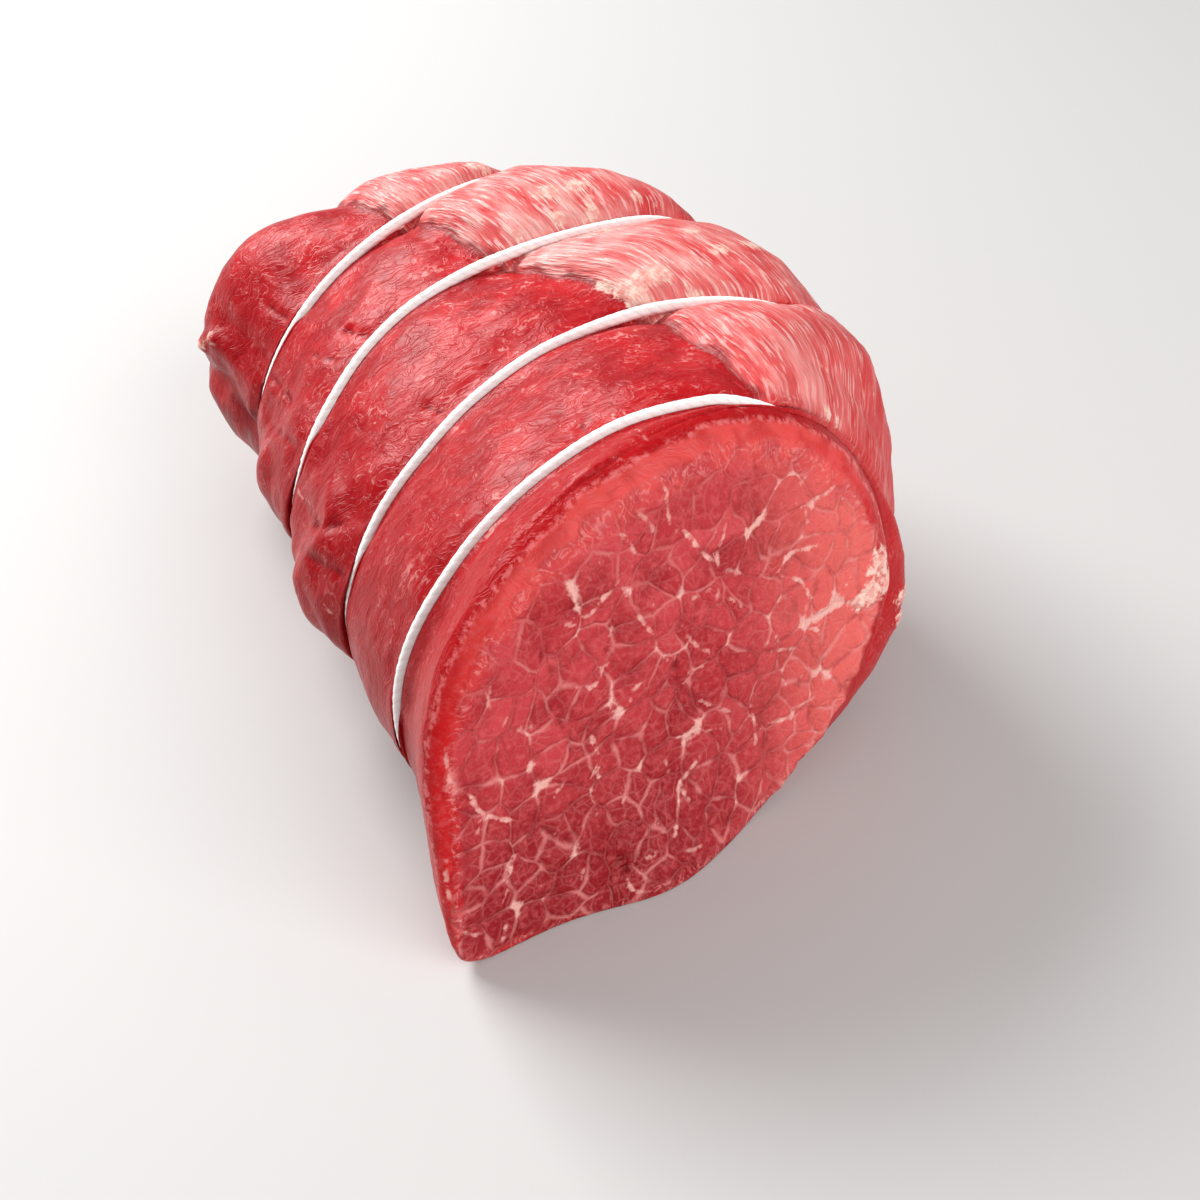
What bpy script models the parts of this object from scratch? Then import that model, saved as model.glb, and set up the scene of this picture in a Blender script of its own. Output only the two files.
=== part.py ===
"""A tied beef tenderloin roast (chateaubriand) and its four loops of butcher's twine.

The roast lies on its flat underside. Its cut face looks towards -Y, +X is to the right of it
and +Z is up. All sizes are in metres.
"""
import math

import bmesh
import bpy
import numpy as np

# Butcher's twine
STRING_Y = (-0.0430, -0.0124, 0.0188, 0.0483)
STRING_DIAMETER = 0.0020
STRING_GAP = 0.00045
STRING_SIDES_SETTING = 1
GROOVE_DEPTH = 0.0009
GROOVE_HALF_WIDTH = 0.0014

# How far each loop, and the flesh with it, lies behind its station: by x, from the left
LEAN_X = (-0.046, -0.038, -0.030, -0.020, -0.006, 0.008, 0.018, 0.034)
LEAN = (
    (-0.0034, -0.0028, -0.0011, 0.0006, 0.0022, 0.0010, 0.0004, 0.0045),
    (-0.0088, -0.0048, -0.0024, 0.0006, 0.0026, 0.0024, 0.0012, -0.0030),
    (-0.0100, -0.0064, -0.0026, 0.0000, 0.0010, 0.0010, 0.0010, 0.0010),
    (-0.0100, -0.0080, -0.0062, -0.0044, -0.0020, 0.0008, 0.0010, 0.0010),
    (0.0000, 0.0000, 0.0000, 0.0000, 0.0000, 0.0000, 0.0000, 0.0000),
)

# Tight section of the roast at a station along its length:
# y, left reach, right reach, crest x, crest z, belt z, bottom z,
# squareness of the top right, top left, bottom left and bottom right quarters
STATIONS = (
    (-0.0620, -0.0480, 0.0400, 0.0020, 0.0705, 0.030, -0.001, 2.0, 2.10, 12.0, 1.72),
    (-0.0430, -0.0450, 0.0410, 0.0070, 0.0694, 0.028, 0.003, 1.60, 2.00, 2.7, 3.60),
    (-0.0124, -0.0455, 0.0470, 0.0150, 0.0670, 0.028, 0.003, 2.9, 1.80, 2.7, 3.00),
    (0.0188, -0.0465, 0.0400, 0.0160, 0.0663, 0.028, 0.003, 2.9, 2.00, 2.7, 2.80),
    (0.0483, -0.0455, 0.0220, 0.0000, 0.0640, 0.028, 0.003, 2.4, 1.80, 2.7, 2.60),
    (0.0700, -0.0505, 0.0120, -0.0120, 0.0565, 0.028, 0.003, 2.2, 3.40, 2.7, 2.40),
)
STATION_KEYS = [row[0] for row in STATIONS]
FRONT_Y = STATIONS[0][0]

# Cut face: y = FACE_AT + FACE_SLANT x + FACE_LEAN z, with its foot flared forwards
FACE_AT = -0.0645
FACE_SLANT = 0.245
FACE_LEAN = 0.20
FLARE_DEPTH = 0.0055
FLARE_X = -0.009
FLARE_HALF_WIDTH = 0.015
FLARE_HEIGHT = 0.012
FACE_MIDDLE = (-0.004, 0.031)
FACE_LOWEST = 0.0008

# Turns go round a section from the bottom middle: 1 is the right side, 2 the seam beside
# the wing muscle, 3 the seam over the lower layer on the left flank, 4 the bottom again
TURNS = (0, 1, 2, 3, 4)
COLUMNS = (13, 17, 26, 16)
COLUMN_EASE = 0.45
RIM_TURNS = (0.0, 0.5, 1.0, 2.0, 2.75, 2.95, 3.05, 4.0)
RIM_RADIUS = (0.0012, 0.0020, 0.0040, 0.0040, 0.0040, 0.0022, 0.0014, 0.0012)

# Wing seam: its x at y, on the crest side. Lower seam: its z at y, on the left flank
WING_SEAM_Y = (-0.062, -0.041, -0.019, -0.001, 0.014, 0.034, 0.052, 0.070)
WING_SEAM_X = (0.020, 0.0165, 0.0125, 0.0070, -0.0020, -0.0090, -0.0160, -0.0230)
LOWER_SEAM_Y = (-0.072, -0.043, -0.0124, 0.0188, 0.045, 0.070)
LOWER_SEAM_Z = (0.004, 0.010, 0.015, 0.019, 0.024, 0.030)
WING_SEAM_DEPTH = 0.0024
WING_SEAM_WIDTHS = (0.0025, 0.0060)
LOWER_SEAM_DEPTH = 0.0022
LOWER_SEAM_WIDTH = 0.0030
SEAM_FADE = 0.004

# Swell of the flesh between two strings, by turn, and the share that each lobe has of it
SWELL_TURNS = (0.0, 0.5, 1.0, 1.6, 1.93, 2.07, 2.4, 2.7, 2.92, 3.08, 3.4, 4.0)
SWELL = (0.0052, 0.0052, 0.0052, 0.0052, 0.0042, 0.0020,
         0.0016, 0.0022, 0.0042, 0.0048, 0.0048, 0.0052)
SHARE_TURNS = (0.0, 0.6, 1.0, 1.35, 2.0, 3.0, 4.0)
LOBE_SHARE = (
    (0.0, 1.0, 1.0, 0.45, 0.35, 0.0, 0.0),
    (1.0, 1.2, 1.35, 1.35, 1.00, 0.8, 1.0),
    (1.0, 1.0, 1.0, 1.00, 1.00, 1.0, 1.0),
    (1.0, 1.0, 1.0, 1.05, 1.25, 1.0, 1.0),
    (1.0, 1.0, 1.0, 1.00, 0.80, 0.8, 0.8),
)
PILLOW_POWER = 0.6
TAIL_RISE = 0.005

# Tail: the sections shrink towards a middle point
TAIL_START = 0.0575
TAIL_END = 0.0746
TAIL_POWER = 3.0
TAIL_MIDDLE = (-0.018, 0.030)

# Lumps: y, turn, height, half length along the roast, half width round it in turns
LUMPS = (
    (0.0600, 2.80, 0.0016, 0.0050, 0.06),
    (0.0270, 2.90, 0.0014, 0.0070, 0.10),
    (-0.0010, 2.93, 0.0016, 0.0080, 0.12),
    (-0.0470, 0.90, 0.0018, 0.0050, 0.15),
    (-0.0280, 1.55, 0.0010, 0.0090, 0.15),
)
UNEVEN_HEIGHT = 0.0009
UNEVEN_SIZE = 0.013
UNEVEN_SEED = 7
FACE_UNEVEN_HEIGHT = 0.0008

# Rings of the mesh
CAP_RINGS = 5
RIM_RINGS = 3
FRONT_RINGS = 4
LOBE_RINGS = 6
TAIL_RINGS = 7
SHOULDER = 0.0022
SECTION_STEPS = 720
SECTION_QUARTER = SECTION_STEPS // 4
NORMAL_BLUR = 9

# Middle of the finished roast's box, which becomes the origin
BOX_MIDDLE = (0.0003, -0.0003)

# Colours are linear red, green, blue
MEAT_COLOUR = (0.42, 0.022, 0.028)
STRING_COLOUR = (0.86, 0.84, 0.80)


def clear_scene():
    for item in list(bpy.data.objects):
        bpy.data.objects.remove(item, do_unlink=True)


def material(name, colour, roughness, subsurface=0.0):
    made = bpy.data.materials.new(name)
    made.use_nodes = True
    shader = made.node_tree.nodes["Principled BSDF"]
    shader.inputs["Base Color"].default_value = (*colour, 1.0)
    shader.inputs["Roughness"].default_value = roughness
    shader.inputs["Metallic"].default_value = 0.0
    shader.inputs["Subsurface Weight"].default_value = subsurface
    shader.inputs["Subsurface Scale"].default_value = 0.003
    return made


def curve_through(keys, values, at):
    """Cubic curve through the values at the keys, without overshoot."""
    keys = np.asarray(keys, float)
    values = np.asarray(values, float)
    step = np.diff(keys)
    rise = np.diff(values) / step
    slope = np.zeros_like(values)
    for k in range(1, len(keys) - 1):
        if rise[k - 1] * rise[k] > 0:
            slope[k] = 2 * rise[k - 1] * rise[k] / (rise[k - 1] + rise[k])
    slope[0] = rise[0]
    slope[-1] = rise[-1]
    at = np.clip(at, keys[0], keys[-1])
    cell = np.clip(np.searchsorted(keys, at) - 1, 0, len(step) - 1)
    t = (at - keys[cell]) / step[cell]
    start = (1 + 2 * t) * (1 - t) ** 2 * values[cell]
    leave = t * (1 - t) ** 2 * step[cell] * slope[cell]
    end = t * t * (3 - 2 * t) * values[cell + 1]
    arrive = t * t * (t - 1) * step[cell] * slope[cell + 1]
    return start + leave + end + arrive


def smoothstep(t):
    t = np.clip(t, 0, 1)
    return t * t * (3 - 2 * t)


def unevenness(points, size, seed):
    """Smooth seeded noise from -1 to 1 at points, with features of the given size."""
    table = np.random.RandomState(seed).uniform(-1, 1, (32, 32, 32))
    place = np.asarray(points) / size + 16
    cell = np.floor(place).astype(int)
    t = smoothstep(place - cell)
    total = 0
    for i in (0, 1):
        for j in (0, 1):
            for k in (0, 1):
                weight = (np.abs(1 - i - t[:, 0]) * np.abs(1 - j - t[:, 1])
                          * np.abs(1 - k - t[:, 2]))
                total = total + weight * table[(cell[:, 0] + i) % 32, (cell[:, 1] + j) % 32,
                                               (cell[:, 2] + k) % 32]
    return total


def section(y):
    """Tight outline at y, counter-clockwise from the bottom middle, closed."""
    values = [float(curve_through(STATION_KEYS, [row[k] for row in STATIONS], y))
              for k in range(1, len(STATIONS[0]))]
    left, right, crest_x, crest_z, belt_z, bottom_z = values[:6]
    top_right, top_left, bottom_left, bottom_right = values[6:]
    angle = -math.pi / 2 + 2 * math.pi * np.arange(SECTION_STEPS + 1) / SECTION_STEPS
    across = np.cos(angle)
    upward = np.sin(angle)
    square_top = np.where(across >= 0, top_right, top_left)
    square_bottom = np.where(across >= 0, bottom_right, bottom_left)
    square = np.where(upward >= 0, square_top, square_bottom)
    reach = np.where(across >= 0, right - crest_x, crest_x - left)
    rise = np.where(upward >= 0, crest_z - belt_z, belt_z - bottom_z)
    radius = (np.abs(across / reach) ** square + np.abs(upward / rise) ** square) ** (-1 / square)
    return np.stack([crest_x + radius * across, belt_z + radius * upward], 1)


def blurred_tangent(line):
    """Direction along a closed outline, smoothed over a few steps."""
    step = np.diff(line, axis=0)
    step = np.vstack([step, step[:1]])
    kernel = np.ones(NORMAL_BLUR) / NORMAL_BLUR
    half = NORMAL_BLUR // 2
    padded = np.vstack([step[-1 - half:-1], step, step[1:1 + half]])
    return np.stack([np.convolve(padded[:, k], kernel, "valid") for k in (0, 1)], 1)


def tight_ring(y, turns):
    """Points, outward directions and distances past the two seams, at the turns."""
    line = section(y)
    arc = np.concatenate([[0], np.cumsum(np.hypot(*np.diff(line, axis=0).T))])
    top = slice(SECTION_QUARTER, 3 * SECTION_QUARTER + 1)
    low = slice(3 * SECTION_QUARTER, SECTION_STEPS + 1)
    seam_x = float(curve_through(WING_SEAM_Y, WING_SEAM_X, y))
    wing_seam = np.interp(-seam_x, -line[top][:, 0], arc[top])
    seam_z = float(curve_through(LOWER_SEAM_Y, LOWER_SEAM_Z, y))
    lower_seam = np.interp(-seam_z, -line[low][:, 1], arc[low])
    marks = (0.0, arc[SECTION_QUARTER], wing_seam, lower_seam, arc[-1])
    place = np.interp(turns, TURNS, marks)
    spot = np.stack([np.interp(place, arc, line[:, k]) for k in (0, 1)], 1)
    tangent = blurred_tangent(line)
    out = np.stack([np.interp(place, arc, tangent[:, 1]), np.interp(place, arc, -tangent[:, 0])], 1)
    out /= np.hypot(*out.T)[:, None]
    return spot, out, place - wing_seam, place - lower_seam


def pillow(y, turns):
    """Share of the swell at y: none at the strings, all between them."""
    marks = (FRONT_Y, *STRING_Y, TAIL_END)
    lobe = int(np.clip(np.searchsorted(marks, y, side="right") - 1, 0, len(marks) - 2))
    start = marks[lobe] + GROOVE_HALF_WIDTH
    end = marks[lobe + 1] - GROOVE_HALF_WIDTH
    t = float(np.clip((y - start) / (end - start), 0, 1))
    height = (4 * t * (1 - t)) ** PILLOW_POWER
    if lobe == len(marks) - 2:
        height = 1 - math.exp(-max(y - start, 0) / TAIL_RISE)
    return height * np.interp(turns, SHARE_TURNS, LOBE_SHARE[lobe])


def relief(y, turns, past_wing, past_lower, seam_share=1.0):
    """Height of the flesh over the tight section."""
    height = curve_through(SWELL_TURNS, SWELL, turns) * pillow(y, turns)
    nearest = min(abs(y - string) for string in STRING_Y)
    wall = (nearest - GROOVE_HALF_WIDTH) / (SHOULDER - GROOVE_HALF_WIDTH)
    height = height - GROOVE_DEPTH * (1 - smoothstep(wall))
    fade = seam_share * float(smoothstep((y - STRING_Y[0]) / SEAM_FADE))
    muscle_side, wing_side = WING_SEAM_WIDTHS[1], WING_SEAM_WIDTHS[0]
    across = np.where(past_wing > 0, past_wing / muscle_side, -past_wing / wing_side)
    height = height - fade * WING_SEAM_DEPTH * np.exp(-across ** 1.3)
    height = height - fade * LOWER_SEAM_DEPTH * np.exp(-(np.abs(past_lower) / LOWER_SEAM_WIDTH) ** 1.4)
    for lump_y, lump_turn, lump_height, half_length, half_width in LUMPS:
        along = ((y - lump_y) / half_length) ** 2
        height = height + lump_height * np.exp(-along - ((turns - lump_turn) / half_width) ** 2)
    return height


def flesh_ring(y, turns):
    """Outline of the flesh at y, and its outward directions."""
    spot, out, past_wing, past_lower = tight_ring(y, turns)
    outline = spot + out * relief(y, turns, past_wing, past_lower)[:, None]
    return outline, out


def face_plane(outline):
    """y of the cut face at points of the section."""
    x, z = outline.T
    flare = FLARE_DEPTH * np.exp(-((x - FLARE_X) / FLARE_HALF_WIDTH) ** 2 - (z / FLARE_HEIGHT) ** 2)
    return FACE_AT + FACE_SLANT * x + FACE_LEAN * z - flare


def leaning(outline, station):
    """y of the points of a section at a station: the loops are askew, and the tail's end isn't."""
    keys = (*STRING_Y, TAIL_END)
    before = int(np.clip(np.searchsorted(keys, station) - 1, 0, len(keys) - 2))
    share = smoothstep((station - keys[before]) / (keys[before + 1] - keys[before]))
    first = curve_through(LEAN_X, LEAN[before], outline[:, 0])
    second = curve_through(LEAN_X, LEAN[before + 1], outline[:, 0])
    return station + first + share * (second - first)


def column_turns():
    """Turns of the mesh's columns, closer together at the seams."""
    turns = []
    for quarter, count in enumerate(COLUMNS):
        t = np.arange(count) / count
        turns.append(quarter + t - COLUMN_EASE * np.sin(2 * math.pi * t) / (2 * math.pi))
    return np.concatenate(turns)


def stood_ring(outline, y):
    """A ring of points at y, with nothing below the surface that it lies on."""
    return np.column_stack([outline[:, 0], y, np.maximum(outline[:, 1], 0)])


def face_rings(turns, rim):
    """Rings of the cut face from its middle out, then of its rounded rim."""
    outline, out = flesh_ring(FRONT_Y, turns)
    edge = outline - out * rim[:, None]
    edge[:, 1] = np.maximum(edge[:, 1], FACE_LOWEST)
    middle = np.array(FACE_MIDDLE)
    rings = []
    for k in range(1, CAP_RINGS + 1):
        spot = middle + (edge - middle) * (k / CAP_RINGS)
        rings.append(stood_ring(spot, face_plane(spot)))
    for k in range(RIM_RINGS - 1, -1, -1):
        angle = math.pi / 2 * k / RIM_RINGS
        spot = outline - out * (rim * (1 - math.cos(angle)))[:, None]
        rings.append(stood_ring(spot, face_plane(spot) + rim * (1 - math.sin(angle))))
    return rings


def front_rings(turns, rim):
    """Rings from the rim of the slanted cut face back to the first string."""
    rings = []
    trough = STRING_Y[0] - GROOVE_HALF_WIDTH
    for y in np.linspace(FRONT_Y, STRING_Y[0] - SHOULDER, FRONT_RINGS + 1)[1:]:
        outline, _ = flesh_ring(y, turns)
        share = (trough - y) / (trough - FRONT_Y)
        back = leaning(outline, STRING_Y[0]) - GROOVE_HALF_WIDTH
        rings.append(stood_ring(outline, back + share * (face_plane(outline) + rim - back)))
    return rings


def body_rings(turns):
    """Rings of the lobes between the strings, with a trough under each string."""
    stations = []
    for k, string in enumerate(STRING_Y):
        stations += [string - GROOVE_HALF_WIDTH, string + GROOVE_HALF_WIDTH]
        if k < len(STRING_Y) - 1:
            stations += list(np.linspace(string + SHOULDER, STRING_Y[k + 1] - SHOULDER, LOBE_RINGS))
    stations.append(STRING_Y[-1] + SHOULDER)
    outlines = [flesh_ring(y, turns)[0] for y in stations]
    return [stood_ring(outline, leaning(outline, y)) for outline, y in zip(outlines, stations)]


def tail_rings(turns):
    """Rings of the blunt back end, shrinking to its middle."""
    rings = []
    middle = np.array(TAIL_MIDDLE)
    for k in range(TAIL_RINGS):
        angle = math.pi / 2 * k / TAIL_RINGS
        y = TAIL_START + (TAIL_END - TAIL_START) * math.sin(angle) ** (2 / TAIL_POWER)
        outline, _ = flesh_ring(y, turns)
        outline = middle + (outline - middle) * math.cos(angle) ** (2 / TAIL_POWER)
        rings.append(stood_ring(outline, leaning(outline, y)))
    return rings


def roughened(rings):
    """The rings with the flesh's uneven swell, kept off the strings' troughs and the base."""
    made = []
    for ring in rings:
        y = ring[:, 1]
        loops = [leaning(ring[:, [0, 2]], string) for string in STRING_Y]
        away = np.min([np.abs(y - loop) for loop in loops], axis=0)
        share = smoothstep((away - SHOULDER) / SHOULDER) * smoothstep(ring[:, 2] / UNEVEN_SIZE)
        bump = UNEVEN_HEIGHT * share * unevenness(ring, UNEVEN_SIZE, UNEVEN_SEED)
        middle = np.array([0.5 * (ring[:, 0].max() + ring[:, 0].min()), 0.03])
        out = ring[:, [0, 2]] - middle
        out /= np.maximum(np.hypot(*out.T), 1e-6)[:, None]
        made.append(np.column_stack([ring[:, 0] + out[:, 0] * bump, y,
                                     np.maximum(ring[:, 2] + out[:, 1] * bump, 0)]))
    return made


def roughened_face(rings):
    """The rings of the cut face with its shallow dips and rises."""
    made = []
    for k, ring in enumerate(rings):
        share = 1 - k / len(rings)
        bump = FACE_UNEVEN_HEIGHT * share * unevenness(ring, UNEVEN_SIZE, UNEVEN_SEED + 1)
        made.append(ring + np.outer(bump, (0.0, 1.0, 0.0)))
    return made


def ring_mesh(name, rings, front, back):
    """A closed mesh over rings of equal count, with a fan at each end."""
    shape = bmesh.new()
    loops = [[shape.verts.new(point) for point in ring] for ring in rings]
    count = len(loops[0])
    for loop, following in zip(loops, loops[1:]):
        for k in range(count):
            j = (k + 1) % count
            shape.faces.new((loop[k], following[k], following[j], loop[j]))
    for loop, tip, order in ((loops[0], front, 1), (loops[-1], back, -1)):
        point = shape.verts.new(tip)
        for k in range(count):
            corners = (point, loop[k], loop[(k + 1) % count])
            shape.faces.new(corners[::order])
    mesh = bpy.data.meshes.new(name)
    shape.to_mesh(mesh)
    shape.free()
    mesh.shade_smooth()
    return mesh


def centred(points):
    """Points moved so that the finished roast's box is centred on the origin."""
    return np.asarray(points) - np.array([*BOX_MIDDLE, 0.0])


def build_meat():
    turns = column_turns()
    rim = curve_through(RIM_TURNS, RIM_RADIUS, turns)
    face = roughened_face(face_rings(turns, rim))
    flesh = roughened(front_rings(turns, rim) + body_rings(turns) + tail_rings(turns))
    rings = [centred(ring) for ring in face + flesh]
    front_xz = np.array([FACE_MIDDLE])
    front = np.array([[front_xz[0, 0], face_plane(front_xz)[0], front_xz[0, 1]]])
    back = (TAIL_MIDDLE[0], TAIL_END, TAIL_MIDDLE[1])
    mesh = ring_mesh("meat", rings, centred(front)[0], centred(back))
    meat = bpy.data.objects.new("meat", mesh)
    meat.data.materials.append(material("beef", MEAT_COLOUR, 0.38, subsurface=0.2))
    bpy.context.collection.objects.link(meat)
    return meat


def string_route(y):
    """Middle line of the twine round the section at y. It is taut, so it bridges the two seams."""
    turns = column_turns()
    spot, out, past_wing, past_lower = tight_ring(y, turns)
    trough = relief(y, turns, past_wing, past_lower, seam_share=0.0)
    outline = spot + out * (trough + STRING_GAP + STRING_DIAMETER / 2)[:, None]
    return centred(np.column_stack([outline[:, 0], leaning(outline, y), outline[:, 1]]))


def build_string(number, y, cotton):
    name = f"string_{number}"
    curve = bpy.data.curves.new(name, "CURVE")
    curve.dimensions = "3D"
    curve.bevel_depth = STRING_DIAMETER / 2
    curve.bevel_resolution = STRING_SIDES_SETTING
    route = string_route(y)
    spline = curve.splines.new("POLY")
    spline.points.add(len(route) - 1)
    for point, place in zip(spline.points, route):
        point.co = (*place, 1.0)
    spline.use_cyclic_u = True
    curve.materials.append(cotton)
    bpy.context.collection.objects.link(bpy.data.objects.new(name, curve))


def main():
    clear_scene()
    build_meat()
    cotton = material("cotton_twine", STRING_COLOUR, 0.85)
    for number, y in enumerate(STRING_Y, start=1):
        build_string(number, y, cotton)


main()
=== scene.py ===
"""Looks of the tied beef tenderloin roast: moist membrane, marbled cut face and cotton twine.

The roast is one fine closed mesh over the same sections as its solid, with veins, creases and
fat placed on it. The frame is the solid's: metres, +Z up, cut face towards -Y.
"""
import math

import bpy
import numpy as np
from mathutils import Euler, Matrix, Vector
from mathutils.bvhtree import BVHTree


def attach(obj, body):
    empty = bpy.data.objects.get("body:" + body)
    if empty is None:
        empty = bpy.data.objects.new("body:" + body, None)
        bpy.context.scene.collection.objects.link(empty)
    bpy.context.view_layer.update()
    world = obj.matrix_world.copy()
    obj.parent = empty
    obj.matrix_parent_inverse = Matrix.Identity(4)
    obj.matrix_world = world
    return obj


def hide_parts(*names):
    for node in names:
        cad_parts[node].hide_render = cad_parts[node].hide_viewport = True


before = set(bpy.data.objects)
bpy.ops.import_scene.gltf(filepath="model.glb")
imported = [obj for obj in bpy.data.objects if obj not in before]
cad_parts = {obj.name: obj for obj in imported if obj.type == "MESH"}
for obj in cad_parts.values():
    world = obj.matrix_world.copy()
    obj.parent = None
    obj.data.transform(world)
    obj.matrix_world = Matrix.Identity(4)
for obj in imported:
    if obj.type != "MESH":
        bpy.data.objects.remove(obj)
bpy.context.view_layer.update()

MM = 0.001

# Butcher's twine
STRING_Y = (-0.0430, -0.0124, 0.0188, 0.0483)
STRING_RADIUS = 0.0010
STRING_GAP = 0.00045
GROOVE_DEPTH = 0.0009
GROOVE_HALF_WIDTH = 0.0014

# How far each loop, and the flesh with it, lies behind its station: by x, from the left
LEAN_X = (-0.046, -0.038, -0.030, -0.020, -0.006, 0.008, 0.018, 0.034)
LEAN = (
    (-0.0034, -0.0028, -0.0011, 0.0006, 0.0022, 0.0010, 0.0004, 0.0045),
    (-0.0088, -0.0048, -0.0024, 0.0006, 0.0026, 0.0024, 0.0012, -0.0030),
    (-0.0100, -0.0064, -0.0026, 0.0000, 0.0010, 0.0010, 0.0010, 0.0010),
    (-0.0100, -0.0080, -0.0062, -0.0044, -0.0020, 0.0008, 0.0010, 0.0010),
    (0.0000, 0.0000, 0.0000, 0.0000, 0.0000, 0.0000, 0.0000, 0.0000),
)

# Tight section of the roast at a station along its length:
# y, left reach, right reach, crest x, crest z, belt z, bottom z,
# squareness of the top right, top left, bottom left and bottom right quarters
STATIONS = (
    (-0.0620, -0.0480, 0.0400, 0.0020, 0.0705, 0.030, -0.001, 2.0, 2.10, 12.0, 1.72),
    (-0.0430, -0.0450, 0.0410, 0.0070, 0.0694, 0.028, 0.003, 1.60, 2.00, 2.7, 3.60),
    (-0.0124, -0.0455, 0.0470, 0.0150, 0.0670, 0.028, 0.003, 2.9, 1.80, 2.7, 3.00),
    (0.0188, -0.0465, 0.0400, 0.0160, 0.0663, 0.028, 0.003, 2.9, 2.00, 2.7, 2.80),
    (0.0483, -0.0455, 0.0220, 0.0000, 0.0640, 0.028, 0.003, 2.4, 1.80, 2.7, 2.60),
    (0.0700, -0.0505, 0.0120, -0.0120, 0.0565, 0.028, 0.003, 2.2, 3.40, 2.7, 2.40),
)
FRONT_Y = STATIONS[0][0]

# Cut face: y = FACE_AT + FACE_SLANT x + FACE_LEAN z, with its foot flared forwards
FACE_AT = -0.0645
FACE_SLANT = 0.245
FACE_LEAN = 0.20
FLARE_DEPTH = 0.0055
FLARE_X = -0.009
FLARE_HALF_WIDTH = 0.015
FLARE_HEIGHT = 0.012
FACE_MIDDLE = (-0.004, 0.031)
FACE_LOWEST = 0.0008

# Turns go round a section from the bottom middle: 1 is the right side, 2 the seam beside
# the wing muscle, 3 the seam over the lower layer on the left flank, 4 the bottom again
TURNS = (0, 1, 2, 3, 4)
COLUMNS = (58, 84, 124, 54)
COLUMN_EASE = 0.30
RIM_TURNS = (0.0, 0.5, 1.0, 2.0, 2.75, 2.95, 3.05, 4.0)
RIM_RADIUS = (0.0012, 0.0020, 0.0040, 0.0040, 0.0040, 0.0022, 0.0014, 0.0012)

# Wing seam: its x at y, on the crest side. Lower seam: its z at y, on the left flank
WING_SEAM_Y = (-0.062, -0.041, -0.019, -0.001, 0.014, 0.034, 0.052, 0.070)
WING_SEAM_X = (0.020, 0.0165, 0.0125, 0.0070, -0.0020, -0.0090, -0.0160, -0.0230)
LOWER_SEAM_Y = (-0.072, -0.043, -0.0124, 0.0188, 0.045, 0.070)
LOWER_SEAM_Z = (0.004, 0.010, 0.015, 0.019, 0.024, 0.030)
WING_SEAM_DEPTH = 0.0024
WING_SEAM_WIDTHS = (0.0025, 0.0060)
WING_SEAM_POWER = 1.3
LOWER_SEAM_DEPTH = 0.0022
LOWER_SEAM_WIDTH = 0.0030
LOWER_SEAM_POWER = 1.4
SEAM_FADE = 0.004

# Swell of the flesh between two strings, by turn, and the share that each lobe has of it
SWELL_TURNS = (0.0, 0.5, 1.0, 1.6, 1.93, 2.07, 2.4, 2.7, 2.92, 3.08, 3.4, 4.0)
SWELL = (0.0052, 0.0052, 0.0052, 0.0052, 0.0042, 0.0020,
         0.0016, 0.0022, 0.0042, 0.0048, 0.0048, 0.0052)
SHARE_TURNS = (0.0, 0.6, 1.0, 1.35, 2.0, 3.0, 4.0)
LOBE_SHARE = (
    (0.0, 1.0, 1.0, 0.45, 0.35, 0.0, 0.0),
    (1.0, 1.2, 1.35, 1.35, 1.00, 0.8, 1.0),
    (1.0, 1.0, 1.0, 1.00, 1.00, 1.0, 1.0),
    (1.0, 1.0, 1.0, 1.05, 1.25, 1.0, 1.0),
    (1.0, 1.0, 1.0, 1.00, 0.80, 0.8, 0.8),
)
PILLOW_POWER = 0.6
TAIL_RISE = 0.005

# Tail: the sections shrink towards a middle point
TAIL_START = 0.0575
TAIL_END = 0.0746
TAIL_POWER = 3.0
TAIL_MIDDLE = (-0.018, 0.030)

# Lumps of the solid: y, turn, height, half length along the roast, half width in turns
LUMPS = (
    (0.0600, 2.80, 0.0016, 0.0050, 0.06),
    (0.0270, 2.90, 0.0014, 0.0070, 0.10),
    (-0.0010, 2.93, 0.0016, 0.0080, 0.12),
    (-0.0470, 0.90, 0.0018, 0.0050, 0.15),
    (-0.0280, 1.55, 0.0010, 0.0090, 0.15),
)
UNEVEN_HEIGHT = 0.0009
UNEVEN_SIZE = 0.013
UNEVEN_SEED = 7
FACE_UNEVEN_HEIGHT = 0.0008
UNEVEN_MIDDLE_Z = 0.03
NOISE_CELLS = 32

# Rings of the mesh
FACE_RINGS = 66
RIM_RINGS = 10
FRONT_RINGS = 25
LOBE_RINGS = 32
BACK_RINGS = 8
TAIL_RINGS = 42
LOOP_OFFSETS = (-0.0021, -0.0017, -0.00138, -0.0011, -0.0009, -0.0006, -0.0003, 0.0,
                0.0003, 0.0006, 0.0009, 0.0011, 0.00138, 0.0017, 0.0021)
LOOP_CLEARANCE = 0.00006
SHOULDER = 0.0021
SHOULDER_END = 0.0034
FAR_FROM_TWINE = 0.02
SECTION_STEPS = 720
SECTION_QUARTER = SECTION_STEPS // 4
NORMAL_BLUR = 9
BOX_MIDDLE = np.array([0.0003, -0.0003, 0.0])

# Where the flesh closes over each string: turns, and how far it closes from 0 to 1
CLOSED_TURNS = (
    ((1.93, 2.03, 2.74, 2.84), (1.0, 0.0, 0.0, 1.0)),
    ((1.60, 1.72, 2.62, 2.74), (1.0, 0.0, 0.0, 1.0)),
    ((1.44, 1.58, 2.56, 2.68), (1.0, 0.0, 0.0, 1.0)),
    ((1.62, 1.76, 2.42, 2.54), (1.0, 0.0, 0.0, 1.0)),
)

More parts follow.
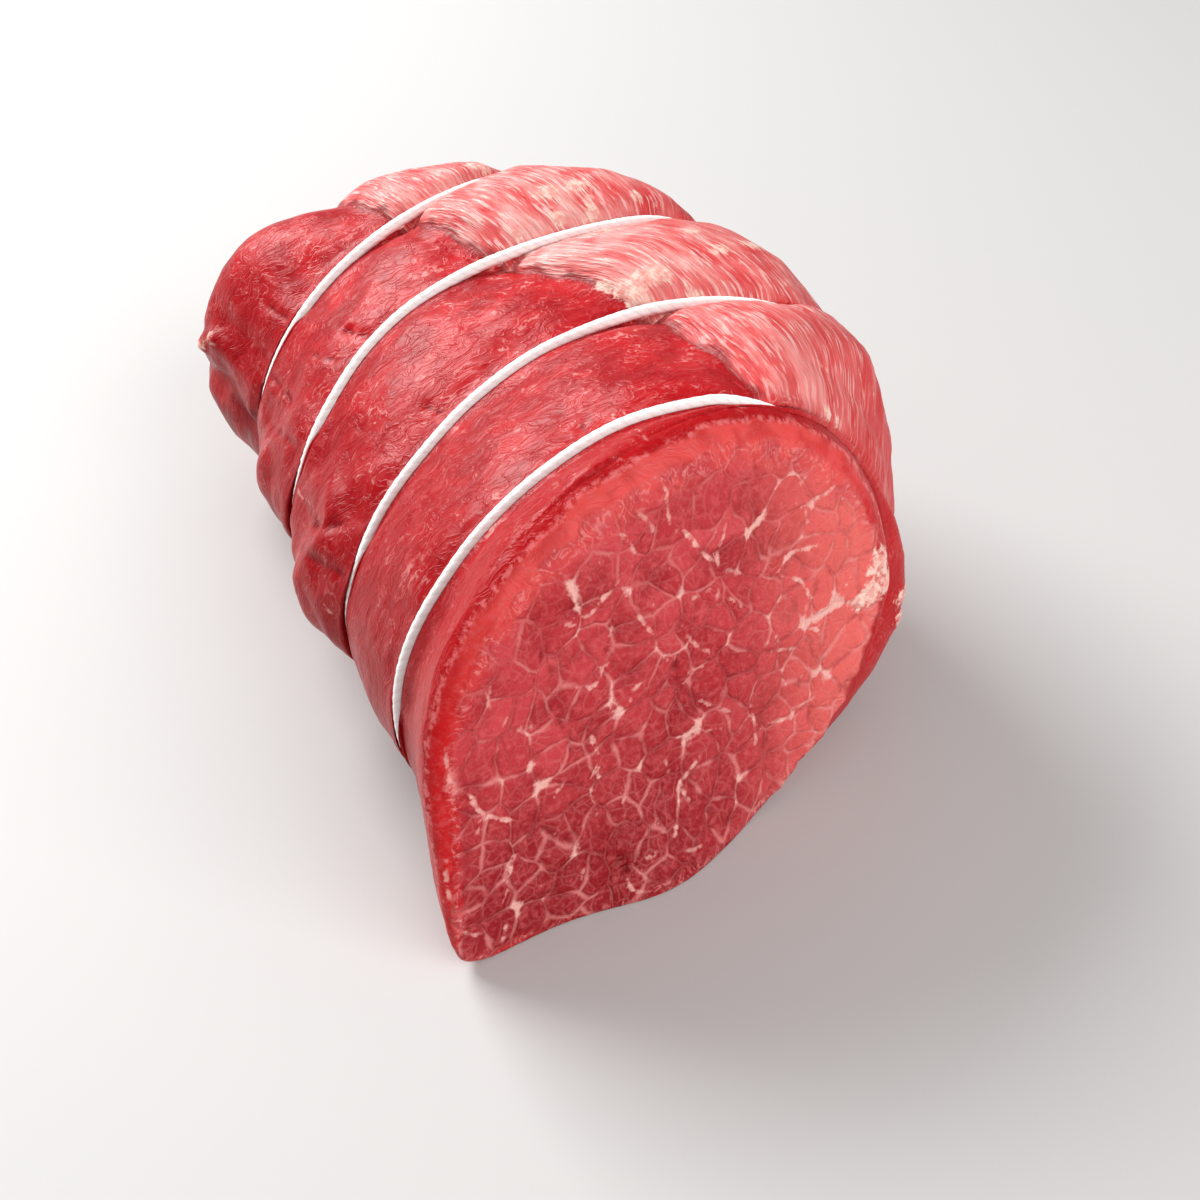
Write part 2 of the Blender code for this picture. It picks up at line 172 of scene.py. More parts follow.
# The lips that close: by distance from the string, their shift away from it and their rise
LIP_AWAY = (0.0, 0.0011, 0.0017, 0.0024, 0.0032, 0.0080)
LIP_SHIFT = (0.0, 0.0, -0.00055, -0.0018, -0.00298, 0.0)
LIP_RISE = (0.0, 0.0002, 0.0010, 0.0010, 0.0004, 0.0)

# Colours of the flesh: display red, green, blue from 0 to 255
SKIN_DARK = (162, 10, 20)
SKIN_LIGHT = (194, 24, 32)
# Painted shade: the darker red of the left flank
SKIN_FLANK_SHADE = (154, 4, 14)
SKIN_SPECK = (216, 62, 68)
# Painted highlight: pale glints along the membrane's crinkles
SKIN_GLINT = (240, 128, 128)
THREAD = (246, 190, 182)
FRONT_RED = (178, 10, 18)
WING_RED = (226, 88, 88)
WING_PINK = (244, 142, 138)
WING_SIDE = (198, 20, 28)
# Pale fat streaks of the wing, also used for its painted sheen
WING_STREAK_AND_SHEEN = (255, 214, 206)
WING_DARK = (196, 36, 44)
LOWER_RED = (134, 12, 20)
LOWER_PINK = (176, 52, 54)
FACE_DARK = (176, 40, 48)
FACE_LIGHT = (200, 64, 70)
FACE_SHADE = (140, 12, 22)
FACE_SPECK = (220, 98, 100)
# Painted shade in the cracks between the bundles of the cut face
FACE_CRACK_SHADE = (128, 12, 22)
# Painted light: the cut face lighter towards its right
FACE_LIT_CORAL = (242, 112, 104)
FACE_NET = (232, 140, 136)
FACE_FAT = (244, 186, 176)
RIM_RED = (204, 24, 28)
RIM_CORAL = (236, 84, 80)
VEIN_EDGE = (222, 112, 110)
VEIN_CORE = (244, 184, 174)
# Painted shade in the seams and creases
HOLLOW_SHADE_RED = (120, 4, 14)
FAT_PINK = (240, 164, 152)
FAT_CREAM = (250, 222, 206)

# Colours of the twine
# Painted shade: the greyer white of the grooves between the strands
TWINE_SHADE = (244, 238, 234)
TWINE_WHITE = (254, 253, 251)
TWINE_STAIN = (228, 150, 150)

# Bundles of the cut face in millimetres, and how far the lower layer's colour climbs past its seam
BUNDLE_SIZE = 5.2
SMALL_BUNDLE_SIZE = 2.4
LOWER_LIFT = 4.0


def smoothstep(t):
    t = np.clip(t, 0, 1)
    return t * t * (3 - 2 * t)


def curve_through(keys, values, at):
    """Cubic curve through the values at the keys, without overshoot."""
    keys = np.asarray(keys, float)
    values = np.asarray(values, float)
    step = np.diff(keys)
    rise = np.diff(values) / step
    both = np.maximum(rise[:-1] * rise[1:], 0)
    total = np.where(both > 0, rise[:-1] + rise[1:], 1)
    slope = np.concatenate([rise[:1], 2 * both / total, rise[-1:]])
    at = np.clip(at, keys[0], keys[-1])
    cell = np.clip(np.searchsorted(keys, at) - 1, 0, len(step) - 1)
    t = (at - keys[cell]) / step[cell]
    start = (1 + 2 * t) * (1 - t) ** 2 * values[cell]
    leave = t * (1 - t) ** 2 * step[cell] * slope[cell]
    end = t * t * (3 - 2 * t) * values[cell + 1]
    arrive = t * t * (t - 1) * step[cell] * slope[cell + 1]
    return start + leave + end + arrive


def unevenness(points, size, seed):
    """Smooth seeded noise from -1 to 1 at points, with features of the given size."""
    table = np.random.RandomState(seed).uniform(-1, 1, (NOISE_CELLS,) * 3)
    place = np.asarray(points) / size + NOISE_CELLS // 2
    cell = np.floor(place).astype(int)
    t = smoothstep(place - cell)
    total = 0
    for corner in np.ndindex(2, 2, 2):
        weight = np.prod(np.abs(1 - np.array(corner) - t), axis=1)
        total = total + weight * table[tuple(((cell + corner) % NOISE_CELLS).T)]
    return total


def run_along(line):
    """Distance along a line from its first point to each of its points."""
    return np.concatenate([[0], np.cumsum(np.linalg.norm(np.diff(line, axis=0), axis=1))])


def read_at(at, keys, values):
    """Columns of values read between their keys."""
    return np.stack([np.interp(at, keys, column) for column in values.T], 1)


def section(y):
    """Tight outline at y, counter-clockwise from the bottom middle, closed."""
    keys, *columns = zip(*STATIONS)
    values = [float(curve_through(keys, column, y)) for column in columns]
    left, right, crest_x, crest_z, belt_z, bottom_z = values[:6]
    top_right, top_left, bottom_left, bottom_right = values[6:]
    angle = -math.pi / 2 + 2 * math.pi * np.arange(SECTION_STEPS + 1) / SECTION_STEPS
    across = np.cos(angle)
    upward = np.sin(angle)
    square_top = np.where(across >= 0, top_right, top_left)
    square_bottom = np.where(across >= 0, bottom_right, bottom_left)
    square = np.where(upward >= 0, square_top, square_bottom)
    reach = np.where(across >= 0, right - crest_x, crest_x - left)
    rise = np.where(upward >= 0, crest_z - belt_z, belt_z - bottom_z)
    radius = (np.abs(across / reach) ** square + np.abs(upward / rise) ** square) ** (-1 / square)
    return np.stack([crest_x + radius * across, belt_z + radius * upward], 1)


def blurred_tangent(line):
    """Direction along a closed outline, smoothed over a few steps."""
    step = np.diff(line, axis=0)
    step = np.vstack([step, step[:1]])
    kernel = np.ones(NORMAL_BLUR) / NORMAL_BLUR
    half = NORMAL_BLUR // 2
    padded = np.vstack([step[-1 - half:-1], step, step[1:1 + half]])
    return np.stack([np.convolve(padded[:, k], kernel, "valid") for k in (0, 1)], 1)


def tight_ring(y, turns):
    """Points, outward directions and distances past the two seams, at the turns."""
    line = section(y)
    arc = run_along(line)
    top = slice(SECTION_QUARTER, 3 * SECTION_QUARTER + 1)
    low = slice(3 * SECTION_QUARTER, SECTION_STEPS + 1)
    seam_x = float(curve_through(WING_SEAM_Y, WING_SEAM_X, y))
    wing_seam = np.interp(-seam_x, -line[top][:, 0], arc[top])
    seam_z = float(curve_through(LOWER_SEAM_Y, LOWER_SEAM_Z, y))
    lower_seam = np.interp(-seam_z, -line[low][:, 1], arc[low])
    marks = (0.0, arc[SECTION_QUARTER], wing_seam, lower_seam, arc[-1])
    place = np.interp(turns, TURNS, marks)
    out = read_at(place, arc, blurred_tangent(line))[:, ::-1] * (1, -1)
    out /= np.hypot(*out.T)[:, None]
    return read_at(place, arc, line), out, place - wing_seam, place - lower_seam


def pillow(y, turns):
    """Share of the swell at y: none at the strings, all between them."""
    marks = (FRONT_Y, *STRING_Y, TAIL_END)
    lobe = int(np.clip(np.searchsorted(marks, y, side="right") - 1, 0, len(marks) - 2))
    start = marks[lobe] + GROOVE_HALF_WIDTH
    end = marks[lobe + 1] - GROOVE_HALF_WIDTH
    t = float(np.clip((y - start) / (end - start), 0, 1))
    height = (4 * t * (1 - t)) ** PILLOW_POWER
    if lobe == len(marks) - 2:
        height = 1 - math.exp(-max(y - start, 0) / TAIL_RISE)
    return height * np.interp(turns, SHARE_TURNS, LOBE_SHARE[lobe])


def bed_height(away, open_height):
    """Height of the flesh round a string: it hugs the twine's lower half, then rises."""
    hug = STRING_RADIUS + LOOP_CLEARANCE
    middle = STRING_GAP - GROOVE_DEPTH + STRING_RADIUS
    if away < hug:
        return np.full_like(open_height, middle - math.sqrt(hug * hug - away * away))
    share = smoothstep((away - hug) / (SHOULDER_END - hug))
    return middle + (open_height - middle) * share


def relief(y, turns, past_wing, past_lower, seam_share=1.0):
    """Height of the flesh over the tight section."""
    height = curve_through(SWELL_TURNS, SWELL, turns) * pillow(y, turns)
    nearest = min(abs(y - string) for string in STRING_Y)
    if nearest < SHOULDER_END:
        height = bed_height(nearest, height)
    fade = seam_share * float(smoothstep((y - STRING_Y[0]) / SEAM_FADE))
    wing_side, muscle_side = WING_SEAM_WIDTHS
    across = np.where(past_wing > 0, past_wing / muscle_side, -past_wing / wing_side)
    height = height - fade * WING_SEAM_DEPTH * np.exp(-across ** WING_SEAM_POWER)
    across = np.abs(past_lower) / LOWER_SEAM_WIDTH
    height = height - fade * LOWER_SEAM_DEPTH * np.exp(-across ** LOWER_SEAM_POWER)
    for lump_y, lump_turn, lump_height, half_length, half_width in LUMPS:
        along = ((y - lump_y) / half_length) ** 2
        height = height + lump_height * np.exp(-along - ((turns - lump_turn) / half_width) ** 2)
    return height


def face_plane(outline):
    """y of the cut face at points of the section."""
    x, z = outline.T
    flare = FLARE_DEPTH * np.exp(-((x - FLARE_X) / FLARE_HALF_WIDTH) ** 2 - (z / FLARE_HEIGHT) ** 2)
    return FACE_AT + FACE_SLANT * x + FACE_LEAN * z - flare


def leaning(outline, station):
    """y of the points of a section at a station: the loops are askew, and the tail's end isn't."""
    keys = (*STRING_Y, TAIL_END)
    before = int(np.clip(np.searchsorted(keys, station) - 1, 0, len(keys) - 2))
    share = smoothstep((station - keys[before]) / (keys[before + 1] - keys[before]))
    first = curve_through(LEAN_X, LEAN[before], outline[:, 0])
    second = curve_through(LEAN_X, LEAN[before + 1], outline[:, 0])
    return station + first + share * (second - first)


def column_turns():
    """Turns of the mesh's columns, closer together at the seams."""
    turns = []
    for quarter, count in enumerate(COLUMNS):
        t = np.arange(count) / count
        turns.append(quarter + t - COLUMN_EASE * np.sin(2 * math.pi * t) / (2 * math.pi))
    return np.concatenate(turns)


def ring_points(outline, y):
    """Points of a ring, none of them below the surface that the roast lies on."""
    return np.column_stack([outline[:, 0], y, np.maximum(outline[:, 1], 0)])


def face_rings(turns, rim):
    """The cut face from its middle out, then its rounded rim."""
    spot, out, *past = tight_ring(FRONT_Y, turns)
    outline = spot + out * relief(FRONT_Y, turns, *past)[:, None]
    edge = outline - out * rim[:, None]
    edge[:, 1] = np.maximum(edge[:, 1], FACE_LOWEST)
    middle = np.array(FACE_MIDDLE)
    total = FACE_RINGS + RIM_RINGS
    rings = []
    for k in range(1, total + 1):
        if k <= FACE_RINGS:
            spot = middle + (edge - middle) * (k / FACE_RINGS)
            y = face_plane(spot)
        else:
            angle = math.pi / 2 * (total - k) / RIM_RINGS
            spot = outline - out * (rim * (1 - math.cos(angle)))[:, None]
            y = face_plane(spot) + rim * (1 - math.sin(angle))
        uneven = unevenness(ring_points(spot, y), UNEVEN_SIZE, UNEVEN_SEED + 1)
        y = y + FACE_UNEVEN_HEIGHT * (1 - (k - 1) / total) * uneven
        rings.append((ring_points(spot, y), *past))
    return rings


def lips(station, turns):
    """How far the flesh moves back and up at a station where it closes over the twine."""
    loop = int(np.argmin([abs(station - string) for string in STRING_Y]))
    behind = station - STRING_Y[loop]
    closed = smoothstep(np.interp(turns, *CLOSED_TURNS[loop]))
    shift = math.copysign(1, behind) * np.interp(abs(behind), LIP_AWAY, LIP_SHIFT)
    return shift * closed, np.interp(abs(behind), LIP_AWAY, LIP_RISE) * closed


def between(start, end, count):
    """Stations evenly spaced between two others."""
    return list(np.linspace(start, end, count + 2)[1:-1])


def flesh_rings(turns, rim):
    """The front lobe, the lobes between the strings and the tail."""
    stations = between(FRONT_Y, STRING_Y[0] - SHOULDER, FRONT_RINGS)
    for k, string in enumerate(STRING_Y):
        stations += [string + offset for offset in LOOP_OFFSETS]
        if k < len(STRING_Y) - 1:
            stations += between(string + SHOULDER, STRING_Y[k + 1] - SHOULDER, LOBE_RINGS)
    stations += between(STRING_Y[-1] + SHOULDER, TAIL_START, BACK_RINGS)
    trough = STRING_Y[0] - GROOVE_HALF_WIDTH
    rings = []
    for y in stations:
        spot, out, *past = tight_ring(y, turns)
        height = relief(y, turns, *past)
        shift, raised = lips(y, turns)
        outline = spot + out * (height + raised)[:, None]
        if y < trough:
            open_outline = spot + out * height[:, None]
            back = leaning(open_outline, STRING_Y[0]) - GROOVE_HALF_WIDTH
            share = (trough - y) / (trough - FRONT_Y)
            place = back + share * (face_plane(open_outline) + rim - back)
        else:
            place = leaning(outline, y)
        rings.append((ring_points(outline, place + shift), *past))
    middle = np.array(TAIL_MIDDLE)
    for k in range(TAIL_RINGS):
        angle = math.pi / 2 * k / TAIL_RINGS
        y = TAIL_START + (TAIL_END - TAIL_START) * math.sin(angle) ** (2 / TAIL_POWER)
        spot, out, *past = tight_ring(y, turns)
        outline = spot + out * relief(y, turns, *past)[:, None]
        outline = middle + (outline - middle) * math.cos(angle) ** (2 / TAIL_POWER)
        rings.append((ring_points(outline, leaning(outline, y)), *past))
    return rings


def roughened(ring):
    """A ring with the uneven swell of the flesh, kept off the strings' troughs and the base."""
    points, *past = ring
    flat = points[:, [0, 2]]
    away = np.min([np.abs(points[:, 1] - leaning(flat, string)) for string in STRING_Y], axis=0)
    share = smoothstep((away - SHOULDER) / SHOULDER) * smoothstep(points[:, 2] / UNEVEN_SIZE)
    bump = UNEVEN_HEIGHT * share * unevenness(points, UNEVEN_SIZE, UNEVEN_SEED)
    out = flat - (0.5 * (points[:, 0].max() + points[:, 0].min()), UNEVEN_MIDDLE_Z)
    out /= np.maximum(np.hypot(*out.T), 1e-6)[:, None]
    return (ring_points(flat + out * bump[:, None], points[:, 1]), *past)


# Camera, in the pixels of a 1200 by 1200 frame
CAMERA_PLACE = (-0.0903, -0.2387, 0.215)
CAMERA_PITCH = 40.0
CAMERA_HEADING = 22.0
CAMERA_LENS = 52.38
CAMERA_SENSOR = 36.0
FRAME_PIXELS = 1200
FOCAL_PIXELS = CAMERA_LENS / CAMERA_SENSOR * FRAME_PIXELS
CAMERA_TURN = (math.radians(90 - CAMERA_PITCH), 0, -math.radians(CAMERA_HEADING))

# Marks on the surface, each placed by the pixels of the frame where the camera sees it.
# Pale veins and fibres: width in millimetres, then x, y of each pixel along the vein
VEINS = (
    (0.7, 652, 474, 661, 483, 666, 491, 668, 507, 669, 523, 675, 529),
    (1.3, 669, 523, 675, 529, 685, 531, 695, 543, 702, 553, 713, 561, 717, 571),
    (1.1, 726, 518, 725, 530, 721, 542, 717, 558, 718, 572),
    (0.7, 718, 572, 730, 570, 744, 575),
    (0.5, 718, 580, 717, 599, 718, 615),
    (0.45, 679, 602, 698, 596, 711, 589, 717, 584),
    (0.6, 721, 597, 730, 599, 739, 604, 746, 609),
    (1.6, 772, 578, 780, 569, 786, 558, 796, 551, 810, 548, 822, 544),
    (1.0, 780, 576, 794, 578, 803, 582, 808, 590, 810, 598, 819, 598),
    (1.1, 810, 598, 806, 608, 803, 620, 804, 629, 815, 628, 824, 637),
    (0.5, 830, 585, 832, 591, 839, 601),
    (1.3, 799, 510, 806, 505, 819, 498, 829, 493, 838, 482),
    (0.5, 800, 510, 806, 512, 808, 521, 812, 526),
    (0.5, 811, 473, 803, 480, 800, 489),
    (0.6, 773, 631, 777, 638, 780, 644),
    (0.8, 771, 652, 784, 650, 799, 648),
    (0.7, 608, 532, 621, 534, 627, 539, 635, 551, 638, 558),
    (0.6, 627, 512, 638, 513, 647, 519, 653, 527, 652, 535, 648, 542),
    (0.5, 587, 576, 594, 585),
    (1.0, 620, 578, 613, 590, 604, 597, 597, 604, 593, 611, 585, 616, 576, 621),
    (1.0, 565, 624, 570, 625, 575, 623),
    (0.9, 639, 604, 638, 613, 644, 624, 652, 633, 657, 633),
    (0.7, 614, 622, 612, 633, 609, 640),
    (0.6, 679, 622, 684, 631, 691, 640, 700, 649, 707, 650, 711, 661),
    (0.4, 677, 677, 693, 670, 709, 663),
    (0.4, 659, 650, 663, 656, 670, 662),
    (0.8, 574, 687, 585, 687, 592, 688, 599, 679, 605, 668, 615, 661),
    (0.7, 650, 677, 640, 682, 633, 689, 629, 695, 632, 707),
    (0.6, 679, 711, 689, 703, 698, 699, 709, 705, 721, 708, 732, 713, 741, 716),
    (0.8, 751, 702, 754, 716, 756, 730, 757, 741, 754, 753),
    (1.0, 762, 725, 776, 721, 792, 718, 794, 709, 792, 702),
    (0.8, 794, 707, 803, 705, 812, 699, 817, 693),
    (0.6, 780, 677, 786, 684, 787, 687),
    (0.7, 585, 730, 592, 737, 596, 748, 597, 757),
    (0.4, 698, 734, 712, 730, 725, 728),
    (0.4, 661, 753, 668, 767, 670, 778),
    (0.6, 442, 738, 446, 750, 448, 768, 451, 782, 461, 790),
    (1.2, 461, 790, 473, 799, 479, 811, 489, 817),
    (1.4, 476, 834, 489, 817, 498, 819, 517, 822),
    (1.3, 512, 859, 510, 875, 502, 882),
    (0.6, 511, 885, 505, 898, 502, 905),
    (0.9, 510, 918, 505, 928, 502, 944),
    (0.6, 487, 933, 477, 936, 461, 933),
    (0.5, 587, 864, 582, 875, 579, 885),
    (1.3, 626, 877, 631, 890, 645, 893),
    (1.1, 678, 819, 675, 839),
    (0.6, 660, 844, 653, 857, 642, 859),
    (0.9, 681, 852, 695, 850, 704, 844),
    (0.8, 681, 783, 683, 793, 691, 803),
    (0.9, 701, 752, 697, 760, 688, 773, 681, 783),
    (1.1, 590, 779, 596, 770, 600, 778, 604, 780),
    (0.9, 596, 806, 596, 816),
    (0.6, 626, 793, 624, 803, 619, 806),
    (0.6, 568, 778, 563, 785, 553, 793, 552, 806),
    (0.7, 586, 729, 590, 737, 596, 750, 599, 760),
    (0.5, 540, 727, 525, 727, 515, 734),
    (0.6, 501, 732, 510, 716),
    (0.5, 490, 716, 488, 700, 492, 682),
    (0.9, 447, 858, 446, 872, 447, 888, 452, 905),
    (0.35, 611, 304, 615, 309, 616, 316),
    (0.35, 520, 368, 524, 380, 523, 397),
    (0.35, 564, 366, 574, 374, 588, 376, 604, 385),
    (0.3, 574, 374, 570, 386, 561, 392),
    (0.3, 588, 376, 593, 366, 600, 362),
    (0.35, 630, 426, 640, 432, 650, 446),
    (0.3, 466, 464, 472, 470, 480, 478),
    (0.8, 522, 198, 545, 206, 568, 214, 588, 224),
    (0.7, 648, 192, 652, 200, 660, 212),
    (0.7, 600, 206, 590, 196, 592, 184),
    (0.8, 722, 308, 738, 318, 752, 330),
    (0.7, 764, 374, 774, 390, 784, 402),
    (0.7, 812, 356, 822, 366, 832, 374),
    (0.5, 852, 352, 862, 380, 866, 408),
    (0.5, 868, 372, 874, 400, 876, 424),
    (0.6, 772, 290, 790, 304, 806, 318),
    (0.5, 350, 186, 380, 190, 408, 200),
    (0.5, 290, 480, 300, 496, 312, 506),
    (0.5, 322, 598, 332, 612, 340, 622),
)
# Creases, sunk into the mesh and darkened with painted shade: width in millimetres, then x, y of each
# pixel along the crease
CREASES = (
    (0.9, 335, 324, 350, 331, 364, 334, 376, 336),
    (0.6, 306, 348, 318, 357, 330, 359, 345, 359),
    (0.6, 417, 402, 432, 409, 447, 414),
    (0.7, 532, 816, 543, 829, 561, 834, 573, 842, 576, 852),
    (1.6, 617, 851, 624, 864, 630, 875),
    (0.4, 688, 803, 706, 808, 716, 816, 734, 824),
    (0.4, 748, 650, 770, 651, 790, 649, 801, 653),
    (0.5, 674, 650, 676, 670, 677, 690),
    (0.9, 310, 504, 307, 522, 318, 527, 334, 526, 350, 520),
    (0.8, 300, 545, 318, 560, 338, 572, 354, 583),
    (0.7, 267, 424, 285, 436, 300, 446),
    (0.8, 262, 352, 270, 372, 284, 392, 291, 412),
    (0.3, 575, 400, 590, 420, 600, 446),
    (0.3, 345, 420, 362, 430, 385, 436),
    (0.7, 578, 419, 584, 427, 590, 434),
    (0.5, 560, 408, 566, 416),
    (0.6, 262, 300, 276, 312, 292, 320),
    (0.45, 556, 700, 560, 720, 570, 742, 572, 760),
    (0.45, 600, 640, 612, 656, 616, 676),
    (0.45, 540, 640, 544, 662, 556, 676),
)
# Fat: radius and rise in millimetres, then x, y of its pixel
FAT_SPOTS = (
    (3.4, 0.5, 880, 562), (3.2, 0.5, 884, 580), (2.4, 0.4, 868, 592), (1.8, 0.3, 858, 602),
    (2.0, 2.0, 206, 343), (1.8, 1.2, 212, 338),
    (2.6, 0.5, 622, 290), (2.8, 0.5, 640, 300), (2.0, 0.4, 606, 286), (2.2, 0.4, 590, 215),
    (2.4, 0.4, 604, 232), (1.4, 0.4, 838, 424), (1.6, 0.4, 828, 412), (2.0, 0.5, 690, 232),
    (1.3, 0.3, 519, 235), (2.2, 0.5, 482, 168), (1.6, 0.3, 470, 165),
    (2.4, 0.7, 900, 596), (2.2, 0.8, 896, 618), (2.4, 0.4, 548, 192), (2.4, 0.4, 575, 186),
    (2.6, 0.4, 660, 276), (2.2, 0.3, 700, 300), (2.6, 0.4, 640, 280), (2.0, 0.3, 722, 250),
    (2.2, 0.4, 752, 246), (1.8, 0.3, 780, 262), (1.6, 0.3, 636, 196), (1.8, 0.3, 560, 218),
)


# How far lines reach from their middle and past their ends, and what a point without one knows
LINE_REACH = 0.004
LINE_END = 0.0005
NO_LINE = (9.0, 0.0, 9.0)


def surface_arrays(rings):
    """Positions and place values of all points, ring after ring."""
    spots, wing, lower = [np.array(part) for part in zip(*rings)]
    spots = spots - BOX_MIDDLE
    steps = np.linalg.norm(np.diff(spots, axis=0), axis=2)
    run = np.vstack([np.zeros(len(turns)), np.cumsum(steps, axis=0)])
    flat = spots[..., [0, 2]].reshape(-1, 2)
    loops = [leaning(flat, string).reshape(run.shape) for string in STRING_Y]
    twine = np.min([np.abs(spots[..., 1] + BOX_MIDDLE[1] - loop) for loop in loops], axis=0)
    twine[:FACE_RINGS] = FAR_FROM_TWINE
    lay = np.stack([wing, spots[..., 1], lower], axis=2)
    edge = np.stack([run - run[FACE_RINGS - 1], twine, np.tile(turns, (len(rings), 1))], axis=2)
    return spots, lay, edge


def grid_normals(spots):
    """Outward direction at each point of the rings."""
    around = np.roll(spots, -1, axis=1) - np.roll(spots, 1, axis=1)
    back = np.gradient(spots, axis=0)
    out = np.cross(around, back)
    return out / np.maximum(np.linalg.norm(out, axis=2, keepdims=True), 1e-12)


class PhotoSurface:
    """Finds the point of the surface that the camera sees at a pixel."""

    def __init__(self, mesh):
        corners = [vertex.co for vertex in mesh.vertices]
        self.tree = BVHTree.FromPolygons(corners, [face.vertices for face in mesh.polygons])
        self.turn = Euler(CAMERA_TURN).to_matrix()

    def spot(self, pixel):
        across = (pixel[0] - FRAME_PIXELS / 2) / FOCAL_PIXELS
        up = (FRAME_PIXELS / 2 - pixel[1]) / FOCAL_PIXELS
        ray = (self.turn @ Vector((across, up, -1))).normalized()
        start = Vector(CAMERA_PLACE)
        found = self.tree.ray_cast(start, ray)[0]
        if found is None:
            found = self.tree.find_nearest(start + ray * start.length)[0]
        return np.array(found)


def line_marks(points, normals, lines):
    """Signed offset, half width and distance in millimetres from the nearest of some lines."""
    nearest = np.full(len(points), 1.0)
    marks = np.tile(NO_LINE, (len(points), 1))
    for width, corners in lines:
        run = run_along(corners)
        for k in range(len(corners) - 1):
            start, step = corners[k], corners[k + 1] - corners[k]
            length = np.linalg.norm(step)
            away = np.abs(points - start - step / 2)
            close = np.flatnonzero(np.all(away < length / 2 + LINE_REACH, axis=1))
            gap = points[close] - start
            t = np.clip(gap @ step / length ** 2, 0, 1)
            gap = gap - t[:, None] * step
            out = normals[close]
            depth = np.sum(gap * out, axis=1)
            flat = gap - depth[:, None] * out
            distance = np.linalg.norm(flat, axis=1)
            side = np.cross(step / length, out)
            offset = np.sum(flat * side, axis=1)
            better = (distance < nearest[close]) & (np.maximum(np.abs(depth), distance) < LINE_REACH)
            here = close[better]
            share = (run[k] + t[better] * length) / run[-1]
            # Thin at its ends and broken along the way
            taper = np.clip(4 * share * (1 - share) + 0.05, 0, 1) ** 0.9
            taper = taper * (0.72 + 0.45 * np.cos(16 * share))
            beyond = np.sqrt(np.maximum(distance[better] ** 2 - offset[better] ** 2, 0))
            half = 0.5 * width * taper * np.exp(-(beyond / LINE_END) ** 2)
            nearest[here] = distance[better]
            marks[here] = np.column_stack([offset[better] / MM, half, distance[better] / MM])
    return marks


def spot_marks(points, spots):
    """Share of fat at each point and its rise in millimetres."""
    share = np.zeros(len(points))
    rise = np.zeros(len(points))
    for radius, height, centre in spots:
        here = np.exp(-(np.linalg.norm(points - centre, axis=1) / (radius * MM)) ** 2)
        share = np.maximum(share, here)
        rise = np.maximum(rise, height * here)
    return share, rise


def closed_mesh(name, spots, front, back):
    """A closed mesh over rings of points, with a fan at each end."""
    rings, columns = spots.shape[:2]
    points = np.vstack([spots.reshape(-1, 3), [front, back]])
    index = np.arange(rings * columns).reshape(rings, columns)
    after = np.roll(index, -1, axis=1)
    quads = np.stack([index[:-1], index[1:], after[1:], after[:-1]], axis=2).reshape(-1, 4)
    front_fan = [(rings * columns, a, b) for a, b in zip(index[0], after[0])]
    back_fan = [(rings * columns + 1, b, a) for a, b in zip(index[-1], after[-1])]
    mesh = bpy.data.meshes.new(name)
    mesh.from_pydata(points.tolist(), [], quads.tolist() + front_fan + back_fan)
    mesh.shade_smooth()
    return mesh


def placed(name, data):
    """A new object, linked to the scene."""
    item = bpy.data.objects.new(name, data)
    bpy.context.collection.objects.link(item)
    return item


def add_attribute(mesh, name, values):
    """Stores a number or a vector on each point. The roast's two tips repeat a point of their ring."""
    vector = values.ndim == 3
    flat = values.reshape(-1, 3 if vector else 1)
    if len(flat) < len(mesh.vertices):
        flat = np.vstack([flat, flat[:1], flat[-1:]])
    made = mesh.attributes.new(name, "FLOAT_VECTOR" if vector else "FLOAT", "POINT")
    made.data.foreach_set("vector" if vector else "value", flat.astype(np.float32).ravel())


class Value:
    """A number that a node gives. What is worked out from it is made of nodes as well."""

    def __init__(self, graph, socket):
        self.graph = graph
        self.socket = socket

    def __add__(self, other):
        return self.graph.math("ADD", self, other)

    def __mul__(self, other):
        return self.graph.math("MULTIPLY", self, other)

    def __sub__(self, other):
        return self.graph.math("SUBTRACT", self, other)

    def __rsub__(self, other):
        return self.graph.math("SUBTRACT", other, self)

    def __abs__(self):
        return self.graph.math("ABSOLUTE", self)

    def ease(self, low, high, to_low=0.0, to_high=1.0):
        """Smooth step from to_low at low to to_high at high."""
        inputs = {"Value": self, "From Min": low, "From Max": high, "To Min": to_low, "To Max": to_high}
        made = self.graph.node("ShaderNodeMapRange", inputs, interpolation_type="SMOOTHSTEP")
        return Value(self.graph, made.outputs["Result"])

    def near_half(self, width):
        """Share of the thin curves along which a noise is one half."""
        return abs(self - 0.5).ease(width, 0.0)

    def mix(self, first, second):
        made = self.graph.node("ShaderNodeMix", {0: self, 2: first, 3: second}, data_type="FLOAT")
        return Value(self.graph, made.outputs[0])

    def blend(self, first, second):
        """Mix of two colours. A colour is a socket or red, green, blue from 0 to 255."""
        first, second = [c if isinstance(c, bpy.types.NodeSocket) else linear(c) for c in (first, second)]
        made = self.graph.node("ShaderNodeMix", {0: self, 6: first, 7: second}, data_type="RGBA")
        return made.outputs[2]


